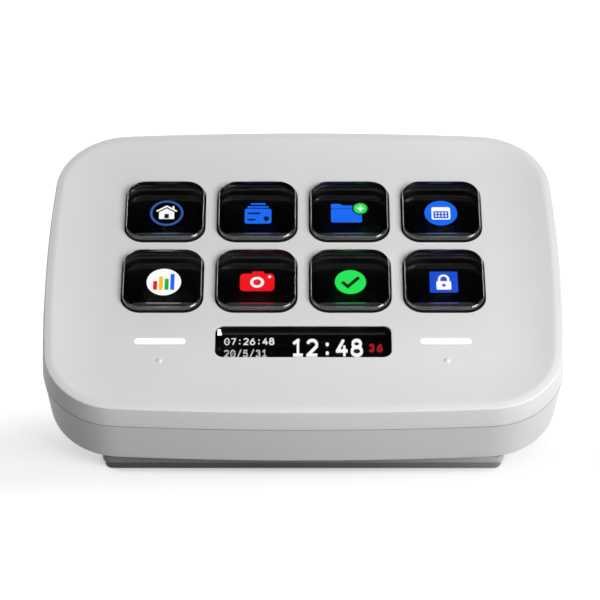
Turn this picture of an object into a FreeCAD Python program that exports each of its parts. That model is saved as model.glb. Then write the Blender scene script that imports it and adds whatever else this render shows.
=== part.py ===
import FreeCAD, Part
import math
import os
import re
import Sketcher

# A desk keypad: eight clear sprung keys over one display, a display bar with a light bar on each side, in a
# shallow dished slab that is tilted on a wedge base. Lengths are in millimetres, the tilt is in degrees.
# Most pieces are drawn in the slab's own frame: x to the right, y up the slope to the back, z out of the
# face. Its zero is the middle of the slab on the joint line of the two shells. The whole part's frame has
# its zero on the desk under that point.

SIZES = {
    # the slab
    "side_border": 14.6,
    "back_border": 12.65,
    "front_border": 26.05,
    "tilt": 4.0,
    "side_radius": 335.0,
    "end_radius": 716.0,
    "corner_radius": 15.9,
    "upper_height": 5.06,
    "lower_height": 11.62,
    "rim_inset": 0.54,
    "bottom_inset": 0.94,
    "bottom_edge_radius": 1.0,
    "joint_gap": 0.24,
    "shell_wall": 1.8,
    "floor_thickness": 1.8,
    "overrun": 1.0,
    "edge_tolerance": 0.001,
    # the tongue of the lower shell in the rebate of the upper one
    "tongue_inset": 1.0,
    "tongue_height": 1.25,
    "tongue_clearance": 0.1,
    # the rim band and the dished face inside it
    "band_width": 1.55,
    "band_rise": 0.22,
    "face_drop": 1.19,
    "dish_width": 11.0,
    "dish_corner_radius": 6.5,
    "plate_thickness": 1.4,
    # keys
    "key_pitch": 19.3,
    "key_web": 2.35,
    "opening_corner": 4.1,
    "key_gap": 0.35,
    "cap_rise": 1.1,
    "cap_edge_radius": 0.4,
    "cap_clearance": 0.25,
    "key_travel": 1.2,
    "collar_play": 0.1,
    "collar_thickness": 0.5,
    "collar_clearance": 0.25,
    "collar_corner": 4.8,
    "guide_wall": 0.6,
    "guide_corner": 1.5,
    # the silicone mat under the keys
    "mat_thickness": 0.2,
    "mat_border": 1.35,
    "dome_radius": 0.45,
    "dome_height": 0.25,
    "dome_clearance": 0.07,
    # the large display and its sheet-metal tray
    "display_border": 0.3,
    "display_thickness": 1.2,
    "display_corner": 1.0,
    "backlight_thickness": 1.65,
    "tray_sheet": 0.3,
    "tray_clearance": 0.1,
    # display bar
    "info_margin": 2.85,
    "info_depth": 8.32,
    "info_corner": 1.8,
    "info_setback": 6.1,
    "lens_recess": 0.2,
    "lens_gap": 0.1,
    "lens_flange": 0.6,
    "lens_border": 1.0,
    "info_display_border": 0.375,
    "info_display_depth": 10.4,
    "info_display_thickness": 1.5,
    "info_display_shift": 0.8,
    "holder_wall": 0.5,
    # light bars, touch foils and the raised dots that a finger finds
    "bar_setback": 6.08,
    "bar_length": 10.45,
    "bar_width": 1.58,
    "bar_gap": 0.05,
    "bar_recess": 0.05,
    "bar_flange": 0.6,
    "bar_border": 1.0,
    "foil_length": 15.0,
    "foil_depth": 8.0,
    "foil_thickness": 0.2,
    "dot_setback": 11.17,
    "dot_radius": 0.65,
    "dot_height": 0.3,
    "dot_edge": 0.25,
    "led_board_length": 12.0,
    "led_board_depth": 4.0,
    "led_board_thickness": 0.6,
    "led_size": 1.8,
    "led_height": 0.4,
    "led_spacing": 5.2,
    "led_gap": 0.1,
    # the steel chassis plate
    "chassis_side": 12.5,
    "chassis_back": 4.95,
    "chassis_front": 9.45,
    "chassis_thickness": 0.8,
    "chassis_corner": 3.0,
    # the circuit board and what it carries
    "board_gap": 1.2,
    "board_side": 13.5,
    "board_back": 5.45,
    "board_front": 8.95,
    "board_thickness": 1.6,
    "board_corner": 3.0,
    "chip_height": 1.0,
    "chip_size": 12.0,
    "memory_width": 10.0,
    "memory_depth": 8.0,
    "power_size": 5.0,
    "chip_row": 12.0,
    "usb_width": 8.94,
    "usb_height": 3.2,
    "usb_length": 7.3,
    "usb_sheet": 0.3,
    "usb_depth": 6.6,
    "usb_sink": 0.6,
    "usb_setback": 1.1,
    "usb_clearance": 0.35,
    "usb_insert_width": 6.7,
    "usb_insert_height": 0.7,
    "usb_insert_length": 5.5,
    "flex_width": 16.0,
    "flex_thickness": 0.15,
    "flex_reach": 3.2,
    "flex_bow": 0.4,
    "flex_side": 2.3,
    "connector_depth": 3.5,
    "connector_height": 0.9,
    # the wedge base
    "base_side": 12.8,
    "base_back": 5.93,
    "base_front": 2.47,
    "base_front_rise": 2.195,
    "base_corner": 1.5,
    "base_wall": 2.0,
    "base_floor": 1.2,
    "base_edge": 0.4,
    "foot_thickness": 2.0,
    "foot_inset": 0.45,
    "foot_corner": 1.5,
    "foot_edge": 0.1,
    "ballast_side": 14.7,
    "ballast_depth": 28.0,
    "ballast_thickness": 3.0,
    "ballast_back": 2.0,
    # fasteners and what they screw into
    "case_screw_side": 8.9,
    "case_screw_end": 9.65,
    "case_boss_radius": 2.1,
    "case_post_radius": 3.2,
    "case_joint_level": 4.0,
    "case_recess_radius": 2.1,
    "case_bridge": 2.5,
    "case_screw_radius": 0.95,
    "case_head_radius": 1.9,
    "case_head_height": 1.2,
    "case_screw_length": 6.0,
    "chassis_screw_side": 4.0,
    "chassis_screw_edge": 2.25,
    "chassis_boss_radius": 2.2,
    "board_screw_side": 10.0,
    "board_screw_edge": 3.0,
    "standoff_radius": 2.3,
    "small_screw_radius": 0.75,
    "small_head_radius": 1.7,
    "small_head_height": 0.5,
    "chassis_screw_length": 3.5,
    "board_screw_length": 4.2,
    "base_boss_radius": 2.5,
    "base_screw_side": 10.7,
    "base_screw_back": 11.0,
    "base_screw_front": 14.5,
    "base_screw_length": 3.8,
    "base_head_height": 0.8,
    "screw_clearance": 0.1,
    "pilot_clearance": 0.05,
}

# Sizes that follow from others, by name. The slab is the key field and its borders, the display bar spans
# the two middle columns of keys, and each light bar is centred under an outer column. The offsets are
# measured from the slab's middle to the front.
FOLLOWING = {
    "width": "4 * key_pitch + guide_wall + 2 * side_border",
    "slab_depth": "2 * key_pitch + guide_wall + back_border + front_border",
    "keys_centre": "(front_border - back_border) / 2",
    "key_opening": "key_pitch - key_web",
    "field_front": "key_pitch + guide_wall / 2 - keys_centre",
    "info_width": "2 * key_pitch - info_margin",
    "info_display_width": "info_width + 2 * info_display_border",
    "info_offset": "field_front + info_setback",
    "bar_spacing": "3 * key_pitch",
    "bar_offset": "field_front + bar_setback",
    "dot_offset": "field_front + dot_setback",
}

# Levels in the slab's frame, from the face down
RIDGE_INSET = "(rim_inset + band_width)"
RIDGE = "(upper_height + band_rise)"
FACE = "(upper_height - face_drop)"
PLATE_UNDER = f"({FACE} - plate_thickness)"
CAP_TOP = f"({FACE} + cap_rise)"
COLLAR_TOP = f"({PLATE_UNDER} - collar_play)"
COLLAR_BOTTOM = f"({COLLAR_TOP} - collar_thickness)"
MAT_TOP = f"({COLLAR_BOTTOM} - key_travel - dome_clearance - dome_height)"
DISPLAY_TOP = f"({MAT_TOP} - mat_thickness)"
CAP_BOTTOM = f"({DISPLAY_TOP} + key_travel + cap_clearance)"
DISPLAY_BOTTOM = f"({DISPLAY_TOP} - display_thickness)"
TRAY_FLOOR = f"({DISPLAY_BOTTOM} - backlight_thickness)"
CHASSIS_TOP = f"({TRAY_FLOOR} - tray_sheet)"
CHASSIS_UNDER = f"({CHASSIS_TOP} - chassis_thickness)"
BOARD_TOP = f"({CHASSIS_UNDER} - board_gap)"
BOARD_UNDER = f"({BOARD_TOP} - board_thickness)"
FLOOR_TOP = "(floor_thickness - lower_height)"
JOINT_ABOVE = "(joint_gap / 2)"

# Insets, corners and the key field
CAVITY_INSET = "(shell_wall + rim_inset)"
TRAY_INSET = "(shell_wall + bottom_inset)"
CAP_SIZE = "(key_opening - 2 * key_gap)"
CAP_CORNER = "(opening_corner - key_gap)"
CELL = "(key_pitch - guide_wall)"
GUIDE_WIDTH = "(4 * key_pitch + guide_wall)"
GUIDE_DEPTH = "(2 * key_pitch + guide_wall)"
DISPLAY_WIDTH = f"({GUIDE_WIDTH} + 2 * display_border)"
DISPLAY_DEPTH = f"({GUIDE_DEPTH} + 2 * display_border)"
FIRST_KEY_X = "(-1.5 * key_pitch)"
FIRST_KEY_Y = "(keys_centre + key_pitch / 2)"
INFO_DISPLAY_Y = "(0 - info_offset - info_display_shift)"
USB_MOUTH = "(slab_depth / 2 - bottom_inset / 2 - usb_setback)"
USB_LEVEL = f"({BOARD_TOP} - usb_sink - usb_height / 2)"

# Flat pieces inside: half their width, and their back and front edges
CHASSIS_SIDE = "(width / 2 - chassis_side)"
CHASSIS_BACK = "(slab_depth / 2 - chassis_back)"
CHASSIS_FRONT = "(chassis_front - slab_depth / 2)"
BOARD_SIDE = "(width / 2 - board_side)"
BOARD_BACK = "(slab_depth / 2 - board_back)"
BOARD_FRONT = "(board_front - slab_depth / 2)"
BASE_SIDE = "(width / 2 - base_side)"
BASE_BACK = "(slab_depth / 2 - base_back)"
BASE_FRONT = "(base_front - slab_depth / 2)"
BOARD_SCREW_X = f"({BOARD_SIDE} - board_screw_side)"
DISPLAY_FLEX_X = f"({BOARD_SCREW_X} - small_head_radius - flex_side - flex_width / 2)"


def four(x, back, front):
    """The places of four screws: the front left one, and the steps to the others."""
    return f"0 - {x}", front, f"2 * {x}", f"{back} - {front}"


CASE_SCREW_Y = "(slab_depth / 2 - case_screw_end)"
CASE_SCREWS = four("(width / 2 - case_screw_side)", CASE_SCREW_Y, f"(0 - {CASE_SCREW_Y})")
CHASSIS_SCREWS = four(f"({CHASSIS_SIDE} - chassis_screw_side)", f"({CHASSIS_BACK} - chassis_screw_edge)",
                      f"({CHASSIS_FRONT} + chassis_screw_edge)")
BOARD_SCREWS = four(BOARD_SCREW_X, f"({BOARD_BACK} - board_screw_edge)",
                    f"({BOARD_FRONT} + board_screw_edge)")
BASE_SCREWS = four(f"({BASE_SIDE} - base_screw_side)", f"({BASE_BACK} - base_screw_back)",
                   f"({BASE_FRONT} + base_screw_front)")

# How high the slab's zero stands over the desk
LIFT = (f"(foot_thickness + base_front_rise - {BASE_FRONT} * sin(tilt * 1deg) "
        "+ lower_height * cos(tilt * 1deg))")

# Where the dish is drawn between its foot and the rim, and how far round the slab's lower edge is drawn
DISH_SHARES = (0, 1 / 3, 2 / 3, 1)
EDGE_TURNS = (0, 22.5, 45, 67.5, 90)

doc = FreeCAD.newDocument("desk_keypad")
sheet = doc.addObject("Spreadsheet::Sheet", "Sizes")
for row, (name, number) in enumerate(SIZES.items(), start=1):
    sheet.set(f"A{row}", name)
    sheet.set(f"B{row}", str(number))
    sheet.setAlias(f"B{row}", name)
doc.recompute()

pieces = []


def bound(text):
    """Point every size name in an expression at its cell of the sheet."""
    def cell(word):
        name = word[0]
        if name in FOLLOWING:
            return f"({bound(FOLLOWING[name])})"
        return "Sizes." + name if name in SIZES else name

    return re.sub("[a-z_]+", cell, text)


def value(text):
    """Work out an expression now, as a first guess for the sketch solver."""
    return float(sheet.evalExpression(bound(text)))


def level_of(plane_height):
    """The level of the plane at a height over the desk, at y in the slab's frame: a text with {y} in it."""
    return f"((({plane_height}) - {LIFT} - ({{y}}) * sin(tilt * 1deg)) / cos(tilt * 1deg))"


BASE_UNDER = level_of("foot_thickness")
BASE_FLOOR_TOP = level_of("foot_thickness + base_floor")


# Sketch helpers

def origin_plane(body, role):
    return next(feature for feature in body.Origin.OriginFeatures if feature.Role == role)


def new_sketch(body, level="0", plane="XY_Plane"):
    """A sketch on one of the body's own planes, moved along that plane's normal."""
    sketch = body.newObject("Sketcher::SketchObject", body.Name + "_sketch")
    sketch.AttachmentSupport = (origin_plane(body, plane), [""])
    sketch.MapMode = "FlatFace"
    sketch.setExpression("AttachmentOffset.Base.z", bound(level))
    return sketch


def dimension(sketch, size, kind, *ends):
    """A driving dimension bound to the sheet."""
    index = sketch.addConstraint(Sketcher.Constraint(kind, *ends, value(size)))
    sketch.renameConstraint(index, f"size{index}")
    sketch.setExpression(f"Constraints.size{index}", bound(size))


def place(sketch, geometry, point, x, y):
    """Hold a point of the sketch at x, y, with a plain axis constraint where one of them is zero."""
    for kind, offset, axis in (("DistanceX", x, -2), ("DistanceY", y, -1)):
        if offset == "0":
            sketch.addConstraint(Sketcher.Constraint("PointOnObject", geometry, point, axis))
        elif value(offset) < 0:
            dimension(sketch, f"0 - ({offset})", kind, geometry, point, -1, 1)
        else:
            dimension(sketch, offset, kind, -1, 1, geometry, point)


def arc(sketch, x, y, radius, start, end):
    circle = Part.Circle(FreeCAD.Vector(x, y, 0), FreeCAD.Vector(0, 0, 1), radius)
    return sketch.addGeometry(Part.ArcOfCircle(circle, start, end))


def line(sketch, start, end):
    return sketch.addGeometry(Part.LineSegment(FreeCAD.Vector(*start, 0), FreeCAD.Vector(*end, 0)))


def end_point(sketch, geometry, which):
    point = sketch.getPoint(geometry, which)
    return point.x, point.y


def join_tangent(sketch, loop):
    for first, second in zip(loop, loop[1:] + loop[:1]):
        sketch.addConstraint(Sketcher.Constraint("Tangent", first, 2, second, 1))


def circle_at(sketch, x, y, radius):
    centre = FreeCAD.Vector(value(x), value(y), 0)
    circle = sketch.addGeometry(Part.Circle(centre, FreeCAD.Vector(0, 0, 1), value(radius)))
    dimension(sketch, radius, "Radius", circle)
    place(sketch, circle, 3, x, y)


def rounded_rectangle(sketch, width, depth, radius, x="0", y="0"):
    half_width, half_depth = value(width) / 2, value(depth) / 2
    r = value(radius)
    corners = []
    for turn, (across, along) in enumerate(((1, 1), (-1, 1), (-1, -1), (1, -1))):
        centre_x = value(x) + across * (half_width - r)
        centre_y = value(y) + along * (half_depth - r)
        corners.append(arc(sketch, centre_x, centre_y, r, turn * math.pi / 2, (turn + 1) * math.pi / 2))
    loop = []
    for turn, corner in enumerate(corners):
        following = corners[(turn + 1) % 4]
        side = line(sketch, end_point(sketch, corner, 2), end_point(sketch, following, 1))
        loop += [corner, side]
        sketch.addConstraint(Sketcher.Constraint("Horizontal" if turn % 2 == 0 else "Vertical", side))
    join_tangent(sketch, loop)
    dimension(sketch, radius, "Radius", corners[0])
    for corner in corners[1:]:
        sketch.addConstraint(Sketcher.Constraint("Equal", corners[0], corner))
    place(sketch, corners[0], 3, f"{x} + ({width}) / 2 - {radius}", f"{y} + ({depth}) / 2 - {radius}")
    place(sketch, corners[2], 3, f"{x} - ({width}) / 2 + {radius}", f"{y} - ({depth}) / 2 + {radius}")


def slot(sketch, length, width, x="0", y="0"):
    """A bar with round ends, along the sketch's x axis."""
    r = value(width) / 2
    reach = value(length) / 2 - r
    right = arc(sketch, value(x) + reach, value(y), r, -math.pi / 2, math.pi / 2)
    left = arc(sketch, value(x) - reach, value(y), r, math.pi / 2, 3 * math.pi / 2)
    top = line(sketch, end_point(sketch, right, 2), end_point(sketch, left, 1))
    bottom = line(sketch, end_point(sketch, left, 2), end_point(sketch, right, 1))
    join_tangent(sketch, [right, top, left, bottom])
    dimension(sketch, f"({width}) / 2", "Radius", right)
    place(sketch, right, 3, f"{x} + ({length}) / 2 - ({width}) / 2", y)
    place(sketch, left, 3, f"{x} - ({length}) / 2 + ({width}) / 2", y)


def polygon(sketch, corners):
    """A closed outline of straight sides through corners given as pairs of expressions."""
    points = [(value(x), value(y)) for x, y in corners]
    sides = [line(sketch, start, end) for start, end in zip(points, points[1:] + points[:1])]
    for side, following in zip(sides, sides[1:] + sides[:1]):
        sketch.addConstraint(Sketcher.Constraint("Coincident", side, 2, following, 1))
    for side, (x, y) in zip(sides, corners):
        place(sketch, side, 1, x, y)


def corner_angles(half_width, half_depth, side, end, corner):
    """Centre and end angles of a corner arc that touches two bowed sides from inside."""
    side_x = half_width - side
    end_y = half_depth - end
    far_side, far_end = side - corner, end - corner
    apart = math.hypot(side_x, end_y)
    along = (far_side ** 2 - far_end ** 2 + apart ** 2) / (2 * apart)
    across = math.sqrt(far_side ** 2 - along ** 2)
    unit_x, unit_y = -side_x / apart, end_y / apart
    x = side_x + along * unit_x - across * unit_y
    y = along * unit_y + across * unit_x
    return x, y, math.atan2(y, x - side_x), math.atan2(y - end_y, x)


def slab_outline(sketch, inset, corner=None):
    """The slab's outline drawn in by an inset: four slightly bowed sides and four round corners."""
    half_width = f"(width / 2 - ({inset}))"
    half_depth = f"(slab_depth / 2 - ({inset}))"
    side = f"(side_radius - ({inset}))"
    end = f"(end_radius - ({inset}))"
    corner = corner or f"(corner_radius - ({inset}))"
    w, d, rs, re_, rc = (value(size) for size in (half_width, half_depth, side, end, corner))
    x, y, low, high = corner_angles(w, d, rs, re_, rc)
    half, full = math.pi, 2 * math.pi
    right = arc(sketch, w - rs, 0, rs, -low, low)
    back_right = arc(sketch, x, y, rc, low, high)
    back = arc(sketch, 0, d - re_, re_, high, half - high)
    back_left = arc(sketch, -x, y, rc, half - high, half - low)
    left = arc(sketch, rs - w, 0, rs, half - low, half + low)
    front_left = arc(sketch, -x, -y, rc, half + low, half + high)
    front = arc(sketch, 0, re_ - d, re_, half + high, full - high)
    front_right = arc(sketch, x, -y, rc, full - high, full - low)
    join_tangent(sketch, [right, back_right, back, back_left, left, front_left, front, front_right])
    dimension(sketch, side, "Radius", right)
    dimension(sketch, end, "Radius", back)
    dimension(sketch, corner, "Radius", back_right)
    sketch.addConstraint(Sketcher.Constraint("Equal", right, left))
    sketch.addConstraint(Sketcher.Constraint("Equal", back, front))
    for round_corner in (back_left, front_left, front_right):
        sketch.addConstraint(Sketcher.Constraint("Equal", back_right, round_corner))
    place(sketch, right, 3, f"{half_width} - {side}", "0")
    place(sketch, left, 3, f"{side} - {half_width}", "0")
    place(sketch, back, 3, "0", f"{half_depth} - {end}")
    place(sketch, front, 3, "0", f"{end} - {half_depth}")
    return sketch


# Feature helpers

def new_body(label):
    body = doc.addObject("PartDesign::Body", label)
    body.Label = label
    pieces.append(body)
    return body


def slab_body(label, x="0", y="0"):
    """A piece drawn in the slab's frame and tilted with it, moved over the face by x and y."""
    body = new_body(label)
    slope = FreeCAD.Rotation(FreeCAD.Vector(1, 0, 0), value("tilt"))
    body.Placement = FreeCAD.Placement(FreeCAD.Vector(), slope)
    body.setExpression("Placement.Rotation.Angle", bound("tilt * 1deg"))
    body.setExpression("Placement.Base.x", bound(x))
    body.setExpression("Placement.Base.y", bound(f"({y}) * cos(tilt * 1deg)"))
    body.setExpression("Placement.Base.z", bound(f"{LIFT} + ({y}) * sin(tilt * 1deg)"))
    return body


def level_body(label, y, z):
    """A piece that lies level, as the desk does."""
    body = new_body(label)
    body.setExpression("Placement.Base.y", bound(y))
    body.setExpression("Placement.Base.z", bound(z))
    return body


def pad(body, sketch, length, reverse=False, both_ways=False):
    feature = body.newObject("PartDesign::Pad", "Pad")
    feature.Profile = sketch
    feature.setExpression("Length", bound(length))
    feature.Reversed = reverse
    if both_ways:
        feature.SideType = "Symmetric"
    return feature


def pocket(body, sketch, length, reverse=False, both_ways=False):
    """A pocket that has to take something away, or the direction is wrong."""
    doc.recompute()
    before = body.Shape.Volume
    feature = body.newObject("PartDesign::Pocket", "Pocket")
    feature.Profile = sketch
    feature.setExpression("Length", bound(length))
    feature.Reversed = reverse
    if both_ways:
        feature.SideType = "Symmetric"
    doc.recompute()
    if body.Shape.Volume >= before:
        raise ValueError(f"{body.Label}: {feature.Name} cuts nothing")
    return feature


def loft(body, kind, sketches, ruled):
    feature = body.newObject("PartDesign::" + kind, kind)
    feature.Profile = sketches[0]
    feature.Sections = sketches[1:]
    feature.Ruled = ruled
    return feature


def grid(body, feature, sketch, step_x, step_y, count_x=2, count_y=2, down=False):
    """Repeat a feature in columns and rows along its sketch's axes."""
    pattern = body.newObject("PartDesign::LinearPattern", "Grid")
    pattern.Originals = [feature]
    pattern.Direction = (sketch, ["H_Axis"])
    pattern.Occurrences = count_x
    pattern.setExpression("Length", bound(f"{count_x - 1} * ({step_x})"))
    pattern.Direction2 = (sketch, ["V_Axis"])
    pattern.Occurrences2 = count_y
    pattern.setExpression("Length2", bound(f"{count_y - 1} * ({step_y})"))
    pattern.Reversed2 = down
    body.Tip = pattern
    return pattern


def mirrored(body, feature):
    """Repeat a feature on the other side of the middle plane."""
    pattern = body.newObject("PartDesign::Mirrored", "Mirrored")
    pattern.Originals = [feature]
    pattern.MirrorPlane = (origin_plane(body, "YZ_Plane"), [""])
    body.Tip = pattern
    return pattern


def round_edges(body, radius, chosen):
    """Fillet the edges of the body that a test picks."""
    doc.recompute()
    edges = [f"Edge{number}" for number, edge in enumerate(body.Shape.Edges, start=1) if chosen(edge)]
    feature = body.newObject("PartDesign::Fillet", "Fillet")
    feature.Base = (body.Group[-2], edges)
    feature.setExpression("Radius", bound(radius))
    return feature


def in_own_frame(body, edge):
    """The edge's box in the frame that the body is drawn in."""
    own = edge.copy()
    own.Placement = body.Placement.inverse().multiply(own.Placement)
    return own.BoundBox


def lies_at(body, level):
    """A test for edges that lie all in one level of the body's own frame."""
    height = value(level)
    close = value("edge_tolerance")

    def test(edge):
        box = in_own_frame(body, edge)
        return abs(box.ZMin - height) < close and abs(box.ZMax - height) < close

    return test


# The two shells

def screw_tubes(body, level, top, radius, hole, places):
    """Four tubes that screws go into, from a level up to a top."""
    x, y, *steps = places
    sketch = new_sketch(body, level)
    circle_at(sketch, x, y, radius)
    circle_at(sketch, x, y, hole)
    grid(body, pad(body, sketch, f"{top} - {level}"), sketch, *steps)


def screw_holes(body, level, depth, radius, places, reverse=False):
    """Four round holes, down from a level or up from it."""
    x, y, *steps = places
    sketch = new_sketch(body, level)
    circle_at(sketch, x, y, radius)
    grid(body, pocket(body, sketch, depth, reverse), sketch, *steps)


def top_shell():
    body = slab_body("top_shell")
    joint = slab_outline(new_sketch(body, JOINT_ABOVE), "0")
    crease = slab_outline(new_sketch(body, "upper_height"), "rim_inset")
    ridge = slab_outline(new_sketch(body, RIDGE), RIDGE_INSET)
    loft(body, "AdditiveLoft", [joint, crease, ridge], ruled=True)
    stations = []
    for share in DISH_SHARES:
        rise = f"({FACE} + ({RIDGE} - {FACE}) * {share ** 2})"
        inset = f"({RIDGE_INSET} + dish_width * {1 - share})"
        corner = f"(dish_corner_radius * {1 - share} + (corner_radius - {RIDGE_INSET}) * {share})"
        stations.append(slab_outline(new_sketch(body, rise), inset, corner))
    loft(body, "SubtractiveLoft", stations, ruled=False)
    hollow = slab_outline(new_sketch(body, JOINT_ABOVE), CAVITY_INSET)
    pocket(body, hollow, f"{PLATE_UNDER} - {JOINT_ABOVE}", reverse=True)
    rebate = slab_outline(new_sketch(body, JOINT_ABOVE), "tongue_inset - tongue_clearance")
    pocket(body, rebate, "tongue_height + tongue_clearance", reverse=True)
    key_openings(body)
    bar_openings(body)
    screw_tubes(body, "(tongue_clearance - case_joint_level)", PLATE_UNDER, "case_boss_radius",
                "case_screw_radius + pilot_clearance", CASE_SCREWS)
    screw_tubes(body, CHASSIS_TOP, PLATE_UNDER, "chassis_boss_radius", "small_screw_radius + pilot_clearance",
                CHASSIS_SCREWS)


def key_openings(body):
    sketch = new_sketch(body, RIDGE)
    rounded_rectangle(sketch, "key_opening", "key_opening", "opening_corner", FIRST_KEY_X, FIRST_KEY_Y)
    opening = pocket(body, sketch, f"{RIDGE} - {PLATE_UNDER} + overrun")
    grid(body, opening, sketch, "key_pitch", "key_pitch", count_x=4, count_y=2, down=True)


def bar_openings(body):
    """The display bar's window, and a slot and a raised dot on each side of it."""
    window = new_sketch(body, RIDGE)
    rounded_rectangle(window, "info_width", "info_depth", "info_corner", "0", "0 - info_offset")
    pocket(body, window, f"{RIDGE} - {PLATE_UNDER} + overrun")
    light = new_sketch(body, RIDGE)
    slot(light, "bar_length", "bar_width", "0 - bar_spacing / 2", "0 - bar_offset")
    mirrored(body, pocket(body, light, f"{RIDGE} - {PLATE_UNDER} + overrun"))
    dot = new_sketch(body, FACE)
    circle_at(dot, "0 - bar_spacing / 2", "0 - dot_offset", "dot_radius")
    mirrored(body, pad(body, dot, "dot_height"))
    round_edges(body, "dot_edge", lies_at(body, f"{FACE} + dot_height"))


def bottom_shell():
    body = slab_body("bottom_shell")
    stations = []
    for turned in EDGE_TURNS:
        rise = f"(bottom_edge_radius * (1 - cos({turned}deg)) - lower_height)"
        inset = f"(bottom_inset + bottom_edge_radius * (1 - sin({turned}deg)))"
        stations.append(slab_outline(new_sketch(body, rise), inset))
    stations.append(slab_outline(new_sketch(body, f"0 - {JOINT_ABOVE}"), "0"))
    loft(body, "AdditiveLoft", stations, ruled=True)
    hollow = slab_outline(new_sketch(body, f"0 - {JOINT_ABOVE}"), TRAY_INSET)
    pocket(body, hollow, f"0 - {JOINT_ABOVE} - {FLOOR_TOP}")
    tongue = slab_outline(new_sketch(body, f"0 - {JOINT_ABOVE}"), "tongue_inset")
    slab_outline(tongue, TRAY_INSET)
    pad(body, tongue, f"{JOINT_ABOVE} + tongue_height")
    case_posts(body)
    screw_tubes(body, FLOOR_TOP, BOARD_UNDER, "standoff_radius", "small_screw_radius + pilot_clearance",
                BOARD_SCREWS)
    screw_holes(body, FLOOR_TOP, "floor_thickness + overrun", "case_screw_radius + screw_clearance",
                BASE_SCREWS)
    inlet = new_sketch(body, f"{TRAY_INSET} + overrun - slab_depth / 2", "XZ_Plane")
    slot(inlet, "usb_width + 2 * usb_clearance", "usb_height + 2 * usb_clearance", "0", USB_LEVEL)
    pocket(body, inlet, f"{TRAY_INSET} + 2 * overrun")


def case_posts(body):
    """Posts for the case screws, with deep recesses for their heads from below."""
    x, y, *steps = CASE_SCREWS
    posts = new_sketch(body, FLOOR_TOP)
    circle_at(posts, x, y, "case_post_radius")
    grid(body, pad(body, posts, f"0 - case_joint_level - {FLOOR_TOP}"), posts, *steps)
    screw_holes(body, "0 - lower_height", "lower_height - case_joint_level - case_bridge",
                "case_recess_radius", CASE_SCREWS, reverse=True)
    screw_holes(body, "0 - case_joint_level", "case_bridge + overrun", "case_screw_radius + screw_clearance",
                CASE_SCREWS)


# Keys

def key_cap(number, x, y):
    body = slab_body(f"key_cap_{number}", x, y)
    sketch = new_sketch(body, CAP_BOTTOM)
    rounded_rectangle(sketch, CAP_SIZE, CAP_SIZE, CAP_CORNER)
    pad(body, sketch, f"{CAP_TOP} - {CAP_BOTTOM}")
    round_edges(body, "cap_edge_radius", lies_at(body, CAP_TOP))


def key_collar(number, x, y):
    """The black collar round a cap, which the plate stops from above and the guide keeps square."""
    body = slab_body(f"key_collar_{number}", x, y)
    sketch = new_sketch(body, COLLAR_BOTTOM)
    outside = f"({CELL} - 2 * collar_clearance)"
    rounded_rectangle(sketch, outside, outside, "collar_corner")
    rounded_rectangle(sketch, CAP_SIZE, CAP_SIZE, CAP_CORNER)
    pad(body, sketch, "collar_thickness")


def keys():
    for number in range(8):
        row, column = divmod(number, 4)
        x = f"{FIRST_KEY_X} + {column} * key_pitch"
        y = f"{FIRST_KEY_Y} - {row} * key_pitch"
        key_cap(number + 1, x, y)
        key_collar(number + 1, x, y)


def key_guide():
    """A grid of thin walls under the plate that the collars slide in."""
    body = slab_body("key_guide")
    block = new_sketch(body, MAT_TOP)
    rounded_rectangle(block, GUIDE_WIDTH, GUIDE_DEPTH, "guide_corner", "0", "keys_centre")
    pad(body, block, f"{PLATE_UNDER} - {MAT_TOP}")
    cell = new_sketch(body, PLATE_UNDER)
    rounded_rectangle(cell, CELL, CELL, "collar_corner", FIRST_KEY_X, FIRST_KEY_Y)
    opened = pocket(body, cell, f"{PLATE_UNDER} - {MAT_TOP} + overrun")
    grid(body, opened, cell, "key_pitch", "key_pitch", count_x=4, count_y=2, down=True)


def key_mat():
    """The silicone mat, with a window and two domes for each key. The domes are drawn pressed flat."""
    body = slab_body("key_mat")
    outline = new_sketch(body, DISPLAY_TOP)
    rounded_rectangle(outline, GUIDE_WIDTH, GUIDE_DEPTH, "guide_corner", "0", "keys_centre")
    pad(body, outline, "mat_thickness")
    window = new_sketch(body, MAT_TOP)
    clear = f"({CELL} - 2 * mat_border)"
    rounded_rectangle(window, clear, clear, CAP_CORNER, FIRST_KEY_X, FIRST_KEY_Y)
    opened = pocket(body, window, "mat_thickness + overrun")
    steps = {"count_x": 4, "count_y": 2, "down": True}
    grid(body, opened, window, "key_pitch", "key_pitch", **steps)
    dome = new_sketch(body, MAT_TOP)
    reach = f"({CELL} - mat_border) / 2"
    for side in ("-", "+"):
        circle_at(dome, f"{FIRST_KEY_X} {side} {reach}", FIRST_KEY_Y, "dome_radius")
    grid(body, pad(body, dome, "dome_height"), dome, "key_pitch", "key_pitch", **steps)


# Display, backlight and chassis

def plate(label, level, thickness, width, depth, corner, y):
    """A flat piece with round corners, from its underside up."""
    body = slab_body(label)
    sketch = new_sketch(body, level)
    rounded_rectangle(sketch, width, depth, corner, "0", y)
    pad(body, sketch, thickness)
    return body


def display():
    size = (DISPLAY_WIDTH, DISPLAY_DEPTH, "display_corner", "keys_centre")
    plate("display_panel", DISPLAY_BOTTOM, "display_thickness", *size)
    plate("backlight_panel", TRAY_FLOOR, "backlight_thickness", *size)
    around = "2 * (tray_clearance + tray_sheet)"
    corner = "(display_corner + tray_clearance + tray_sheet)"
    tray = plate("display_tray", CHASSIS_TOP, f"{DISPLAY_TOP} - {CHASSIS_TOP}",
                 f"({DISPLAY_WIDTH} + {around})", f"({DISPLAY_DEPTH} + {around})", corner, "keys_centre")
    inside = new_sketch(tray, DISPLAY_TOP)
    rounded_rectangle(inside, f"({DISPLAY_WIDTH} + 2 * tray_clearance)",
                      f"({DISPLAY_DEPTH} + 2 * tray_clearance)", "(display_corner + tray_clearance)",
                      "0", "keys_centre")
    pocket(tray, inside, f"{DISPLAY_TOP} - {TRAY_FLOOR}")


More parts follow.
